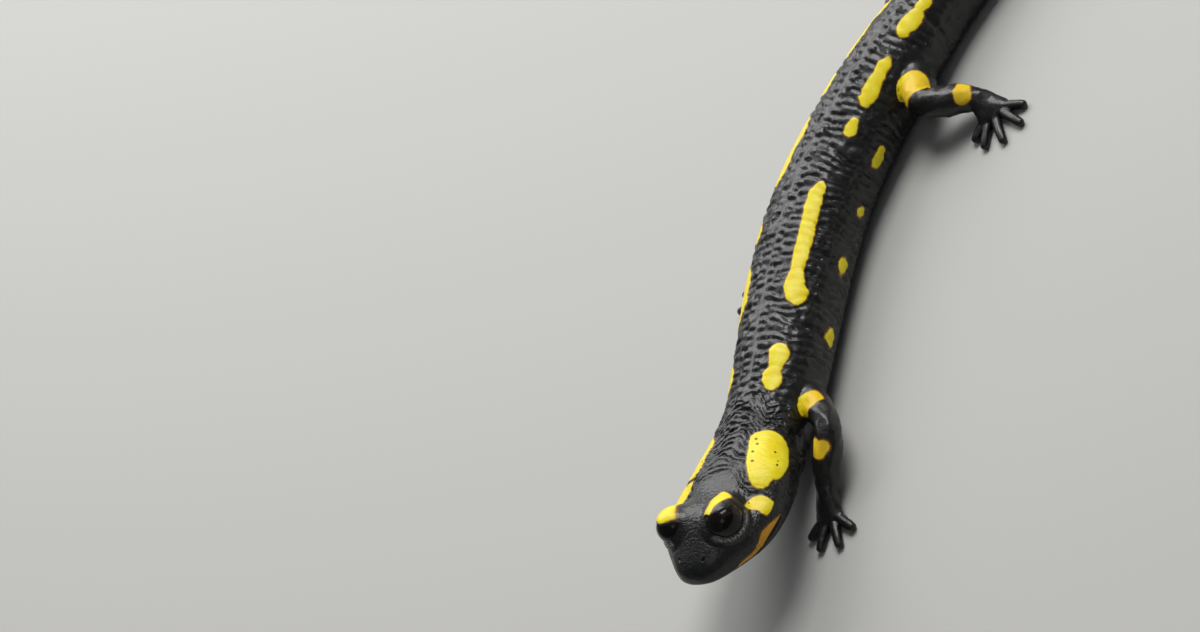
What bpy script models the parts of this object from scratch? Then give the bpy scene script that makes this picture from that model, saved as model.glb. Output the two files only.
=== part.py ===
"""Fire salamander (Salamandra salamandra), adult, life size, standing still.

The animal lies along Y with its head towards -Y and its back up, bent to its left (+X), the head raised
and turned down on its left side, the left foreleg reaching forward. Lengths here are in millimetres and
are turned into metres where a mesh is made. A place on the body is given as (station, across, up):
millimetres behind the snout along the bent body, to the animal's left, and above the body's widest level.
"""
import math

import bpy
import numpy as np
from mathutils import Matrix

# ---- driving dimensions, millimetres and degrees ----
SNOUT_TO_VENT = 110.0
TAIL = 85.0
TOTAL = SNOUT_TO_VENT + TAIL
GAP = 0.3                      # clearance between neighbouring solids
NOSE_ROUND = 6.4               # length over which the snout is rounded off
NOSE_POWER = 2.4               # above 2 is blunter than an ellipse
TIP_ROUND = 3.0                # length over which the tail tip is rounded off
TOP_POWER = 2.1                # squareness of the section above its widest level
BELLY_POWER = 2.3              # squareness below it

# landmark, station, half width, height above and depth below the widest level, that level's height
HALF_WIDTH, ABOVE, BELOW, LEVEL = 2, 3, 4, 5
LANDMARKS = (
    ("snout", 0.0, 4.9, 3.4, 2.2, 8.4),
    ("nostrils", 3.0, 5.8, 4.0, 2.6, 8.3),
    ("eyes", 8.0, 8.7, 5.2, 3.2, 8.0),
    ("jaw corner", 14.0, 10.1, 5.6, 4.3, 7.8),
    ("parotoids", 19.0, 9.6, 6.0, 5.1, 7.6),
    ("nape", 25.0, 8.1, 6.3, 5.6, 7.4),
    ("throat", 32.0, 7.6, 6.5, 5.9, 7.2),
    ("shoulders", 40.0, 8.4, 6.9, 6.4, 7.0),
    ("belly", 65.0, 9.1, 7.2, 7.1, 7.0),
    ("flank", 92.0, 8.3, 7.0, 6.8, 6.7),
    ("hips", 104.0, 7.5, 6.8, 6.1, 6.3),
    ("tail root", 114.0, 5.7, 6.4, 5.5, 5.5),
    ("tail middle", 135.0, 4.4, 5.0, 4.8, 4.6),
    ("tail end", 165.0, 3.0, 3.3, 3.4, 3.2),
    ("tip", 192.0, 1.3, 1.3, 1.4, 1.3),
)

# the way that the body runs: heading of the tailward direction from +Y towards +X, by station
STANCE_TURN = -21.0
HEADING = ((0, 3.0), (22, 1.6), (34, 0.0), (50, 0.5), (66, 7.7), (82, 22.5), (98, 31.0),
           (118, 40.0), (135, 42.0), (160, 22.0), (195, -4.0))
HEAD_PITCH = 14.8              # nose up
HEAD_ROLL = -9.3               # left side down
HEAD_BACK = 22.0               # the head is straight ahead of here
NECK_BACK = 40.0               # pitch and roll are gone here
SPINE_STEPS = 1600
HEAD_MIDDLE = 8.0              # the head's own directions are read at this station

# lengths of body, as separate pieces: name, front and back station, spacing of the sections
LENGTHS = (
    ("neck", HEAD_BACK, 36.0, 2.3),
    ("chest", 36.0, 52.0, 3.2),
    ("trunk_front", 52.0, 73.0, 3.5),
    ("trunk_rear", 73.0, 94.0, 3.5),
    ("hips", 94.0, 113.0, 3.2),
    ("tail_base", 113.0, 139.0, 4.4),
    ("tail_middle", 139.0, 167.0, 4.7),
    ("tail_tip", 167.0, TOTAL, 4.7),
)

EYE_PLACE = (8.05, 4.75, 4.95)  # station, across, up
EYE_RADIUS = 2.6
LID_RADIUS = 3.25
LID_SLIT = (2.8, 2.0)          # half length and half height of the opening between the lids
LID_SLIT_DEPTH = 2.5           # how far the opening reaches in and out from the lids' surface
GAZE_TURN = 62.0               # the eye looks this far out from straight ahead
GAZE_RISE = 14.0
MOUTH_CORNER = 14.6
LIP_DROP = 0.9                 # the mouth line lies this far below the widest level
# the block that parts the jaw from the head: its width, its depth and how far it reaches past the snout
JAW_BLOCK = (26.0, 9.0, 4.0)
PAROTOID = dict(station=18.5, angle=52.0, length=5.2, spread=24.0, height=0.75)

# limbs: girdle station, joints as (out, forward, height) from the body's middle at that station, and
# the way that the digits point, in degrees from forward towards outward
FORE_GIRDLE = 38.0
HIND_GIRDLE = 101.0
LIMBS = {
    "fore_L": (FORE_GIRDLE, 1,
               ((4.5, -0.5, 6.0), (13.0, 8.0, 7.2), (10.3, 17.0, 2.9), (10.6, 21.5, 1.15)), 6.0),
    "fore_R": (FORE_GIRDLE, -1,
               ((4.5, -0.5, 5.0), (10.8, -9.6, 4.0), (12.8, -19.4, 2.3), (14.4, -23.8, 1.15)), 150.0),
    "hind_L": (HIND_GIRDLE, 1,
               ((4.0, 0.0, 5.6), (13.0, 6.0, 7.6), (18.8, -0.2, 3.0), (22.6, 1.2, 1.2)), 60.0),
    "hind_R": (HIND_GIRDLE, -1,
               ((4.0, -0.5, 5.2), (10.8, -9.1, 4.3), (14.4, -18.3, 2.4), (18.2, -20.4, 1.2)), 98.0),
}
# half width and half thickness at the root, mid upper, elbow or knee, mid lower, wrist or ankle, knuckles
FORE_SIZES = ((3.1, 2.9), (2.6, 2.6), (2.1, 2.3), (2.4, 2.3), (1.9, 1.7), (2.7, 1.15))
HIND_SIZES = ((3.9, 3.6), (3.1, 3.1), (2.3, 2.6), (2.6, 2.6), (2.1, 1.9), (3.1, 1.25))
JOINT_ROUNDING = 2.1           # elbows and knees are rounded over about this length
# digits from the inner one to the outer: fan angle, length
FINGERS = ((-52.0, 3.6), (-18.0, 5.2), (15.0, 5.6), (48.0, 4.2))
TOES = ((-62.0, 3.6), (-32.0, 5.4), (-4.0, 6.4), (24.0, 6.2), (54.0, 4.2))
DIGIT_RADIUS = (0.95, 0.72)    # at the knuckle and near the tip
DIGIT_END = 0.35               # radius of the flat at the very tip
DIGIT_SECTIONS = (-0.15, 0.2, 0.5, 0.75, 0.92, 1.0)  # where a digit has sections, as parts of its length
PATH_STEP = 0.1
# the body that the limbs' roots are trimmed by: front and back station
SHOULDER_STATIONS = (24.0, 54.0)
HIP_STATIONS = (86.0, 122.0)
# what lies below the floor is cut off the feet: half way along and across the animal, size, depth
FLOOR_MIDDLE = (30.0, 80.0)
FLOOR_SIZE, FLOOR_DEPTH = 320.0, 8.0

# how finely the solids are faceted
HEAD_SIDES = 30
BODY_SIDES = 24
LIMB_SIDES = 12
DIGIT_SIDES = 8
EYE_SIDES = 18
HEAD_SPACING = 1.15
NOSE_ANGLES = np.radians(np.linspace(5, 90, 8))
TIP_ANGLES = np.radians((35.0, 65.0, 84.0))
CLEARANCE_SPACING = 2.5

METRES = 0.001

# colour and roughness of each material
BLACK_SKIN = ((0.012, 0.012, 0.013), 0.38)
EYE_BLACK = ((0.006, 0.005, 0.005), 0.08)


def keyed(at, keys, values):
    """A smooth curve through the keys that never overshoots them (monotone cubic)."""
    keys, values = np.asarray(keys, float), np.asarray(values, float)
    step = np.diff(keys)
    slope = np.diff(values) / step
    same_way = slope[:-1] * slope[1:] > 0
    total = np.where(same_way, slope[:-1] + slope[1:], 1.0)
    middle = np.where(same_way, 2 * slope[:-1] * slope[1:] / total, 0.0)
    tangent = np.concatenate([[slope[0]], middle, [slope[-1]]])
    at = np.clip(np.asarray(at, float), keys[0], keys[-1])
    i = np.clip(np.searchsorted(keys, at, side="right") - 1, 0, len(step) - 1)
    t = (at - keys[i]) / step[i]
    return ((2 * t**3 - 3 * t**2 + 1) * values[i] + (t**3 - 2 * t**2 + t) * step[i] * tangent[i]
            + (3 * t**2 - 2 * t**3) * values[i + 1] + (t**3 - t**2) * step[i] * tangent[i + 1])


def landmark_curve(station, column):
    """One column of LANDMARKS as a smooth function of the station."""
    return keyed(station, [row[1] for row in LANDMARKS], [row[column] for row in LANDMARKS])


class Spine:
    """The line through the middle of the body, with the directions across, up and tailward along it."""

    def __init__(self):
        self.station = np.linspace(0.0, TOTAL, SPINE_STEPS)
        heading = np.radians(STANCE_TURN + keyed(self.station, *zip(*HEADING)))
        held = 1.0 - keyed(self.station, (HEAD_BACK, NECK_BACK), (0.0, 1.0))
        pitch = math.radians(HEAD_PITCH) * held
        roll = math.radians(HEAD_ROLL) * held
        tailward = np.stack([np.sin(heading) * np.cos(pitch), np.cos(heading) * np.cos(pitch),
                             -np.sin(pitch)], axis=1)
        line = np.zeros((SPINE_STEPS, 3))
        line[1:] = np.cumsum((tailward[1:] + tailward[:-1]) * self.station[1] / 2, axis=0)
        line[:, 2] += landmark_curve(self.station, LEVEL) - np.interp(NECK_BACK, self.station, line[:, 2])
        level = np.stack([np.cos(heading), -np.sin(heading), 0 * heading], axis=1)
        above = np.cross(level, tailward)
        cosine, sine = np.cos(roll)[:, None], np.sin(roll)[:, None]
        self.middle = line
        self.across = level * cosine + above * sine
        self.up = above * cosine - level * sine
        self.tailward = tailward

    def read(self, rows, station):
        """Three coordinates that are kept along the line, read at any stations."""
        return np.stack([np.interp(station, self.station, rows[:, k]) for k in range(3)], axis=-1)

    def place(self, station, across, up):
        """The point at a station, so far across and up from the middle of the body."""
        across = np.asarray(across, float)[..., None]
        up = np.asarray(up, float)[..., None]
        return (self.read(self.middle, station) + across * self.read(self.across, station)
                + up * self.read(self.up, station))


SPINE = Spine()


def end_rounding(station):
    """1 along the body, falling to 0 at the snout and at the tail tip."""
    front = np.clip(station / NOSE_ROUND, 0.0, 1.0)
    back = np.clip((TOTAL - station) / TIP_ROUND, 0.0, 1.0)
    return (1 - (1 - front) ** NOSE_POWER) ** (1 / NOSE_POWER) * np.sqrt(1 - (1 - back) ** 2)


def parotoid_swell(station, angle):
    """The two long glands behind the eyes, as a bell-shaped swelling on each side."""
    along = ((station - PAROTOID["station"]) / PAROTOID["length"]) ** 2
    around = ((np.abs(np.degrees(angle)) - PAROTOID["angle"]) / PAROTOID["spread"]) ** 2
    return PAROTOID["height"] * np.exp(-along - around)


def body_sections(stations, sides, grown=0.0):
    """Rings of points round the body: half ellipses, squared a little, above and below the widest level."""
    angle = np.linspace(-np.pi, np.pi, sides, endpoint=False)
    station, angle = np.meshgrid(np.asarray(stations, float), angle, indexing="ij")
    rounding = end_rounding(station)
    swell = grown + parotoid_swell(station, angle)
    half_width = landmark_curve(station, HALF_WIDTH) * rounding + swell
    upper = np.cos(angle) > 0
    half_height = np.where(upper, landmark_curve(station, ABOVE), landmark_curve(station, BELOW))
    half_height = half_height * rounding + swell
    power = 2 / np.where(upper, TOP_POWER, BELLY_POWER)
    across = half_width * np.sign(np.sin(angle)) * np.abs(np.sin(angle)) ** power
    up = half_height * np.sign(np.cos(angle)) * np.abs(np.cos(angle)) ** power
    return SPINE.place(station, across, up)


def spaced(front, back, spacing):
    """Stations from front to back, both included, about a spacing apart."""
    return np.linspace(front, back, max(2, round((back - front) / spacing) + 1))


def collection(name):
    made = bpy.data.collections.new(name)
    bpy.context.scene.collection.children.link(made)
    return made


def add_object(name, mesh, group, parent):
    made = bpy.data.objects.new(name, mesh)
    group.objects.link(made)
    made.parent = parent
    return made


def skin_loft(name, rings):
    """A closed mesh through rings of points, with a flat face on each end, facing out."""
    count, sides = rings.shape[:2]
    row, col = np.meshgrid(np.arange(count - 1), np.arange(sides), indexing="ij")
    beside = (col + 1) % sides
    quads = np.stack([row * sides + col, row * sides + beside,
                      (row + 1) * sides + beside, (row + 1) * sides + col], axis=-1).reshape(-1, 4)
    ends = [list(range(sides))[::-1], list(range((count - 1) * sides, count * sides))]
    mesh = bpy.data.meshes.new(name)
    mesh.from_pydata((rings.reshape(-1, 3) * METRES).tolist(), [], quads.tolist() + ends)
    mesh.shade_smooth()
    return mesh


def give_material(item, look):
    (red, green, blue), roughness = look
    material = bpy.data.materials.new(item.name)
    material.use_nodes = True
    shader = material.node_tree.nodes["Principled BSDF"]
    shader.inputs["Base Color"].default_value = (red, green, blue, 1.0)
    shader.inputs["Roughness"].default_value = roughness
    shader.inputs["Metallic"].default_value = 0.0
    item.data.materials.append(material)
    item.data.shade_smooth()


def cut(item, cutter, operation="DIFFERENCE"):
    modifier = item.modifiers.new(cutter.name, "BOOLEAN")
    modifier.operation = operation
    modifier.solver = "EXACT"
    modifier.object = cutter


def add_cutter(name, mesh):
    made = add_object(name, mesh, CUTTERS, STAND)
    made.hide_render = True
    made.display_type = "WIRE"
    return made


def primitive_cutter(name, location, rotation, scale, add, **sizes):
    """A primitive turned and stretched into place; its scale is put into the mesh."""
    add(location=(0, 0, 0), **sizes)
    made = bpy.context.object
    made.name = name
    for group in list(made.users_collection):
        group.objects.unlink(made)
    CUTTERS.objects.link(made)
    made.data.transform(placing(rotation, location, scale))
    made.parent = STAND
    made.hide_render = True
    made.display_type = "WIRE"
    return made


def placing(columns, location, scale):
    """A 4 by 4 matrix from three direction vectors, a place in millimetres and a stretch along each."""
    matrix = np.eye(4)
    matrix[:3, :3] = np.stack(columns, axis=1) * np.asarray(scale, float)
    matrix[:3, 3] = np.asarray(location) * METRES
    return Matrix(matrix.tolist())


def head_axes():
    """Across, tailward and up directions of the head."""
    return [SPINE.read(rows, HEAD_MIDDLE) for rows in (SPINE.across, SPINE.tailward, SPINE.up)]


def eye_sphere(name, side, radius, make_cutter):
    """A ball round the middle of an eye, as a part or as a cutter."""
    station, across, up = EYE_PLACE
    bpy.ops.mesh.primitive_uv_sphere_add(segments=EYE_SIDES, ring_count=EYE_SIDES // 2 + 1,
                                         radius=radius * METRES, location=(0, 0, 0))
    made = bpy.context.object
    mesh = made.data
    bpy.data.objects.remove(made)
    mesh.transform(placing(head_axes(), SPINE.place(station, side * across, up), (1, 1, 1)))
    if make_cutter:
        return add_cutter(name, mesh)
    return add_object(name, mesh, PARTS, STAND)


def gaze_axes(side):
    """Directions for one eye: along the lid slit, outward along the gaze, and up."""
    across, tailward, up = head_axes()
    turn, rise = math.radians(GAZE_TURN), math.radians(GAZE_RISE)
    level = -tailward * math.cos(turn) + side * across * math.sin(turn)
    outward = level * math.cos(rise) + up * math.sin(rise)
    slit = np.cross(outward, up)
    slit /= np.linalg.norm(slit)
    return slit, outward, np.cross(slit, outward)


def build_head():
    """The head with its jaw, sockets and lids, and the two eyes."""
    nose = NOSE_ROUND * (1 - np.cos(NOSE_ANGLES))
    rest = spaced(NOSE_ROUND, HEAD_BACK - GAP / 2, HEAD_SPACING)[1:]
    rings = body_sections(np.concatenate([nose, rest]), HEAD_SIDES)
    head = add_object("head", skin_loft("head", rings), PARTS, STAND)
    jaw = add_object("lower_jaw", skin_loft("lower_jaw", rings), PARTS, STAND)

    # the mouth: a block below the lip line is the jaw's, and a slightly larger one is taken from the head
    width, depth, past_snout = JAW_BLOCK
    for item, operation, spare in ((head, "DIFFERENCE", 0.0), (jaw, "INTERSECT", GAP)):
        top = -LIP_DROP - spare
        back = MOUTH_CORNER - spare
        length = back + past_snout
        middle = SPINE.place(back - length / 2, 0.0, top - depth / 2)
        block = primitive_cutter(item.name + "_block", middle, head_axes(), (width, length, depth),
                                 bpy.ops.mesh.primitive_cube_add, size=METRES)
        cut(item, block, operation)

    station, across, up = EYE_PLACE
    for side, letter in ((1, "L"), (-1, "R")):
        eye = eye_sphere("eye_" + letter, side, EYE_RADIUS, make_cutter=False)
        give_material(eye, EYE_BLACK)
        cut(head, eye_sphere("lids_" + letter, side, LID_RADIUS, make_cutter=True), "UNION")
        cut(head, eye_sphere("socket_" + letter, side, EYE_RADIUS + GAP, make_cutter=True))
        slit, outward, upright = gaze_axes(side)
        window = SPINE.place(station, side * across, up) + outward * LID_RADIUS
        opening = primitive_cutter("lid_slit_" + letter, window, (slit, outward, upright),
                                   (LID_SLIT[0], LID_SLIT_DEPTH, LID_SLIT[1]),
                                   bpy.ops.mesh.primitive_uv_sphere_add,
                                   segments=EYE_SIDES, ring_count=EYE_SIDES // 2, radius=METRES)
        cut(head, opening)
    give_material(head, BLACK_SKIN)
    give_material(jaw, BLACK_SKIN)


def build_body():
    """Neck, trunk and tail, flat where they lie on the floor."""
    for name, front, back, spacing in LENGTHS:
        stations = spaced(front + GAP / 2, min(back - GAP / 2, TOTAL - TIP_ROUND), spacing)
        if back == TOTAL:
            tip = TOTAL - TIP_ROUND * (1 - np.sin(TIP_ANGLES))
            stations = np.concatenate([stations, tip])
        rings = body_sections(stations, BODY_SIDES)
        rings[..., 2] = np.maximum(rings[..., 2], 0.0)
        piece = add_object(name, skin_loft(name, rings), PARTS, STAND)
        give_material(piece, BLACK_SKIN)


def joint_points(girdle, side, joints):
    """The joints of a limb as points, from the level frame of the body at its girdle."""
    middle = SPINE.read(SPINE.middle, girdle)
    forward = -SPINE.read(SPINE.tailward, girdle)
    outward = side * SPINE.read(SPINE.across, girdle)
    return np.array([(*(middle + out * outward + ahead * forward)[:2], height)
                     for out, ahead, height in joints])


def tube_rings(points, direction, half_widths, half_thicknesses, sides):
    """Ellipses round a path, each square to its direction, with the long way of the ellipse kept level."""
    direction = direction / np.linalg.norm(direction, axis=1)[:, None]
    level = np.cross(direction, (0.0, 0.0, 1.0))
    level /= np.linalg.norm(level, axis=1)[:, None]
    upright = np.cross(level, direction)
    angle = np.linspace(0, 2 * np.pi, sides, endpoint=False)[None, :, None]
    return (points[:, None] + half_widths[:, None, None] * np.cos(angle) * level[:, None]
            - half_thicknesses[:, None, None] * np.sin(angle) * upright[:, None])


def limb_path(points):
    """The straight run through the joints, blurred along its length so that each joint bends smoothly."""
    chord = np.concatenate([[0], np.cumsum(np.linalg.norm(np.diff(points, axis=0), axis=1))])
    reach = 3 * JOINT_ROUNDING
    at = np.arange(-reach, chord[-1] + reach + PATH_STEP / 2, PATH_STEP)
    before = points[0] + (points[0] - points[1]) / chord[1] * reach
    after = points[-1] + (points[-1] - points[-2]) / (chord[-1] - chord[-2]) * reach
    stops = np.concatenate([[-reach], chord, [chord[-1] + reach]])
    corners = np.vstack([before, points, after])
    straight = np.stack([np.interp(at, stops, corners[:, k]) for k in range(3)], axis=1)
    offsets = np.arange(-reach, reach + PATH_STEP / 2, PATH_STEP)
    blur = np.exp(-offsets**2 / (2 * JOINT_ROUNDING**2))
    blur /= blur.sum()
    path = np.stack([np.convolve(straight[:, k], blur, mode="same") for k in range(3)], axis=1)
    inside = (at > -PATH_STEP / 2) & (at < chord[-1] + PATH_STEP / 2)
    return at[inside], chord, path[inside]


def build_digit(name, base, heading, length):
    """One finger or toe: a blunt tapering tube, arched a little over its middle joint."""
    root, end = DIGIT_RADIUS
    along = np.array(DIGIT_SECTIONS) * length
    radius = keyed(along, (along[0], 0.6 * length, 0.92 * length, length),
                   (root, end + 0.08, end, DIGIT_END))
    height = keyed(along, (along[0], 0.4 * length, length), (root + 0.1, root + 0.05, end * 0.8))
    points = base + along[:, None] * heading
    points[:, 2] = height
    rings = tube_rings(points, np.gradient(points, axis=0), radius, radius * 0.92, DIGIT_SIDES)
    return add_cutter(name, skin_loft(name, rings))


def build_limb(key, names, sizes, digits, clearance):
    """The three lengths of one limb, the last one with its digits, flat where it stands."""
    girdle, side, joints, toe_turn = LIMBS[key]
    letter = key[-1]
    points = joint_points(girdle, side, joints)
    at, chord, path = limb_path(points)
    size_at = (chord[0], chord[1] / 2, chord[1], (chord[1] + chord[2]) / 2, chord[2], chord[3])
    widths, thicknesses = zip(*sizes)

    def rings(front, back, count):
        """Sections of the limb between two distances along it."""
        where = np.linspace(front, back, count)
        line, direction = (np.stack([np.interp(where, at, rows[:, k]) for k in range(3)], axis=1)
                           for rows in (path, np.gradient(path, axis=0)))
        return tube_rings(line, direction, keyed(where, size_at, widths),
                          keyed(where, size_at, thicknesses), LIMB_SIDES)

    upper_name, lower_name, foot_name = (name + "_" + letter for name in names)
    upper = add_object(upper_name, skin_loft(upper_name, rings(0.0, chord[1] - GAP / 2, 6)), PARTS, STAND)
    cut(upper, clearance)
    lower_rings = rings(chord[1] + GAP / 2, chord[2] - GAP / 2, 6)
    lower = add_object(lower_name, skin_loft(lower_name, lower_rings), PARTS, STAND)
    foot = add_object(foot_name, skin_loft(foot_name, rings(chord[2] + GAP / 2, chord[3], 4)), PARTS, STAND)

    forward = -SPINE.read(SPINE.tailward, girdle)
    outward = side * SPINE.read(SPINE.across, girdle)
    middle_turn = math.radians(toe_turn)
    knuckle_line = -forward * math.sin(middle_turn) + outward * math.cos(middle_turn)
    for number, (fan, length) in enumerate(digits, start=1):
        turn = math.radians(toe_turn + fan)
        heading = forward * math.cos(turn) + outward * math.sin(turn)
        base = points[3] + knuckle_line * (widths[-1] - DIGIT_RADIUS[0]) * math.sin(math.radians(fan)) * 1.2
        cut(foot, build_digit(f"{foot_name}_digit_{number}", base, heading, length), "UNION")
    cut(foot, FLOOR)
    for piece in (upper, lower, foot):
        give_material(piece, BLACK_SKIN)


def clearance_loft(name, front, back):
    """The body between two stations, grown by the gap, to trim the roots of the limbs."""
    rings = body_sections(spaced(front, back, CLEARANCE_SPACING), BODY_SIDES, grown=GAP)
    return add_cutter(name, skin_loft(name, rings))


def centre_on_floor():
    """Move the whole animal so that its box stands centred on the origin."""
    bpy.context.view_layer.update()
    depsgraph = bpy.context.evaluated_depsgraph_get()
    corners = []
    for item in PARTS.objects:
        if item.type != "MESH":
            continue
        mesh = item.evaluated_get(depsgraph).to_mesh()
        places = np.empty(len(mesh.vertices) * 3)
        mesh.vertices.foreach_get("co", places)
        places = places.reshape(-1, 3)
        corners += [places.min(axis=0), places.max(axis=0)]
        item.evaluated_get(depsgraph).to_mesh_clear()
    low, high = np.min(corners, axis=0), np.max(corners, axis=0)
    STAND.location = (-(low[0] + high[0]) / 2, -(low[1] + high[1]) / 2, 0.0)


for old in list(bpy.data.objects):
    bpy.data.objects.remove(old)
PARTS = collection("fire_salamander")
CUTTERS = collection("cutters")
STAND = bpy.data.objects.new("stand_point", None)
PARTS.objects.link(STAND)
FLOOR = primitive_cutter("below_floor", (*FLOOR_MIDDLE, -FLOOR_DEPTH / 2), np.eye(3),
                         (FLOOR_SIZE, FLOOR_SIZE, FLOOR_DEPTH),
                         bpy.ops.mesh.primitive_cube_add, size=METRES)
build_head()
build_body()
SHOULDER_ROOM = clearance_loft("shoulder_room", *SHOULDER_STATIONS)
HIP_ROOM = clearance_loft("hip_room", *HIP_STATIONS)
for limb in ("fore_L", "fore_R"):
    build_limb(limb, ("upper_arm", "forearm", "hand"), FORE_SIZES, FINGERS, SHOULDER_ROOM)
for limb in ("hind_L", "hind_R"):
    build_limb(limb, ("thigh", "shank", "foot"), HIND_SIZES, TOES, HIP_ROOM)
centre_on_floor()
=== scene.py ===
# %% [markdown]
# # A fire salamander, life size, as a museum model
# The real animal is one soft sack of wet, glandular skin over muscle: black, with yellow patches that
# run down each side of the back. It has no hard edges anywhere, so cutting it into boxes and tubes that
# are joined later would always show. This lesson works the whole skin out as one surface. A body is a
# row of rings along a bent line, each point of a ring is a function of two numbers (how far behind the
# snout, and how far round from the middle of the back), and every fold, gland and lid is a small height
# added to that function. All lengths are in millimetres until a mesh is made.

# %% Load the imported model, which fixes the size and place of everything
import math

import bpy
import numpy as np
from mathutils import Matrix, Vector


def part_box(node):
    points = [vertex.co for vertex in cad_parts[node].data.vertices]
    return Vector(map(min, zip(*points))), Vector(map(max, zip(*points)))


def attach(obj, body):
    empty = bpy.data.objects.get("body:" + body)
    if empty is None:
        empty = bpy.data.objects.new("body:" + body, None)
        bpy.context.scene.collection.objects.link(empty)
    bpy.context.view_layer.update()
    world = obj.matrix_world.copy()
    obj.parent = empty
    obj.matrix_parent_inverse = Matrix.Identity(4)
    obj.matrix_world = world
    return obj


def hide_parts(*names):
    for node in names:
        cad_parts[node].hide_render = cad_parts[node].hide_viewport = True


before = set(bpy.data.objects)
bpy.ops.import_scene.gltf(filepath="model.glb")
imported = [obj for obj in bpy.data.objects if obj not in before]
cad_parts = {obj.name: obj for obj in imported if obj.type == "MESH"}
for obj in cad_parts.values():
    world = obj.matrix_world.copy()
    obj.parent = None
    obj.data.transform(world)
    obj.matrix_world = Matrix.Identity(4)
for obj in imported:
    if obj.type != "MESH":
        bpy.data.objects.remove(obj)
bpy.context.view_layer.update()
METRES = 0.001

# %% [markdown]
# ## The plan of the body
# A taxidermist measures widths and heights at landmarks and lets the skin find its way between them.
# A plain straight-line blend would show a corner at each landmark and an ordinary cubic would bulge past
# it, so the curve used here is the monotone cubic, which is smooth and never overshoots its keys.


# %% A smooth curve through a few measured values
def keyed(at, keys, values):
    """Monotone cubic: between two keys a cubic whose end slopes are the harmonic mean of the chord
    slopes on both sides, or level where those slopes disagree in sign."""
    keys, values = np.asarray(keys, float), np.asarray(values, float)
    step = np.diff(keys)
    slope = np.diff(values) / step
    same_way = slope[:-1] * slope[1:] > 0
    total = np.where(same_way, slope[:-1] + slope[1:], 1.0)
    middle = np.where(same_way, 2 * slope[:-1] * slope[1:] / total, 0.0)
    tangent = np.concatenate([[slope[0]], middle, [slope[-1]]])
    at = np.clip(np.asarray(at, float), keys[0], keys[-1])
    i = np.clip(np.searchsorted(keys, at, side="right") - 1, 0, len(step) - 1)
    t = (at - keys[i]) / step[i]
    return ((2 * t**3 - 3 * t**2 + 1) * values[i] + (t**3 - 2 * t**2 + t) * step[i] * tangent[i]
            + (3 * t**2 - 2 * t**3) * values[i + 1] + (t**3 - t**2) * step[i] * tangent[i + 1])


def smoothstep(low, high, x):
    """0 below low, 1 above high, and 3t squared less 2t cubed between them."""
    t = np.clip((x - low) / (high - low), 0.0, 1.0)
    return t * t * (3 - 2 * t)


def hill(x, middle, reach):
    """A bell: e to the minus ((x less middle) over reach) squared."""
    return np.exp(-((x - middle) / reach) ** 2)


def window(x, start, full, fading, end):
    """1 from full to fading, 0 before start and past end, and a smoothstep on either side."""
    return smoothstep(start, full, x) * smoothstep(end, fading, x)


# %% The landmarks: name, station behind the snout, half width, height above and depth below, level
LANDMARKS = (
    ("snout", 0.0, 4.9, 3.4, 2.2, 8.4),
    ("nostrils", 3.0, 5.8, 4.0, 2.6, 8.3),
    ("eyes", 8.0, 8.7, 5.2, 3.2, 8.0),
    ("jaw corner", 14.0, 10.1, 5.6, 4.3, 7.8),
    ("parotoids", 19.0, 9.6, 6.0, 5.1, 7.6),
    ("nape", 25.0, 8.1, 6.3, 5.6, 7.4),
    ("throat", 32.0, 7.6, 6.5, 5.9, 7.2),
    ("shoulders", 40.0, 8.4, 6.9, 6.4, 7.0),
    ("belly", 65.0, 9.1, 7.2, 7.1, 7.0),
    ("flank", 92.0, 8.3, 7.0, 6.8, 6.7),
    ("hips", 104.0, 7.5, 6.8, 6.1, 6.3),
    ("tail root", 114.0, 5.7, 6.4, 5.5, 5.5),
    ("tail middle", 135.0, 4.4, 5.0, 4.8, 4.6),
    ("tail end", 165.0, 3.0, 3.3, 3.4, 3.2),
    ("tip", 192.0, 1.3, 1.3, 1.4, 1.3),
)
TOTAL = 195.0
HALF_WIDTH, ABOVE, BELOW, LEVEL = 2, 3, 4, 5


def landmark_curve(station, column):
    """One column of LANDMARKS as a smooth function of the station."""
    return keyed(station, [row[1] for row in LANDMARKS], [row[column] for row in LANDMARKS])


print(len(LANDMARKS), "landmarks over", TOTAL, "mm")

# %% [markdown]
# ## The line that the body follows
# A walking salamander bends from side to side, and this one carries its head raised and turned. The
# bend could be made with an armature or a curve modifier, but then nothing in the script would know
# where a place on the body ends up. Here the heading is a curve over the station, and adding up short
# steps along it gives the middle line and three directions at every station: across, up and tailward.

# %% The middle line and its three directions
STANCE_TURN = -21.0
HEADING = ((0, 3.0), (22, 1.6), (34, 0.0), (50, 0.5), (66, 7.7), (82, 22.5), (98, 31.0),
           (118, 40.0), (135, 42.0), (160, 22.0), (195, -4.0))
HEAD_PITCH, HEAD_ROLL = 14.8, -9.3
HEAD_BACK, NECK_BACK = 22.0, 40.0
LINE_STEPS = 1600


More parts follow.
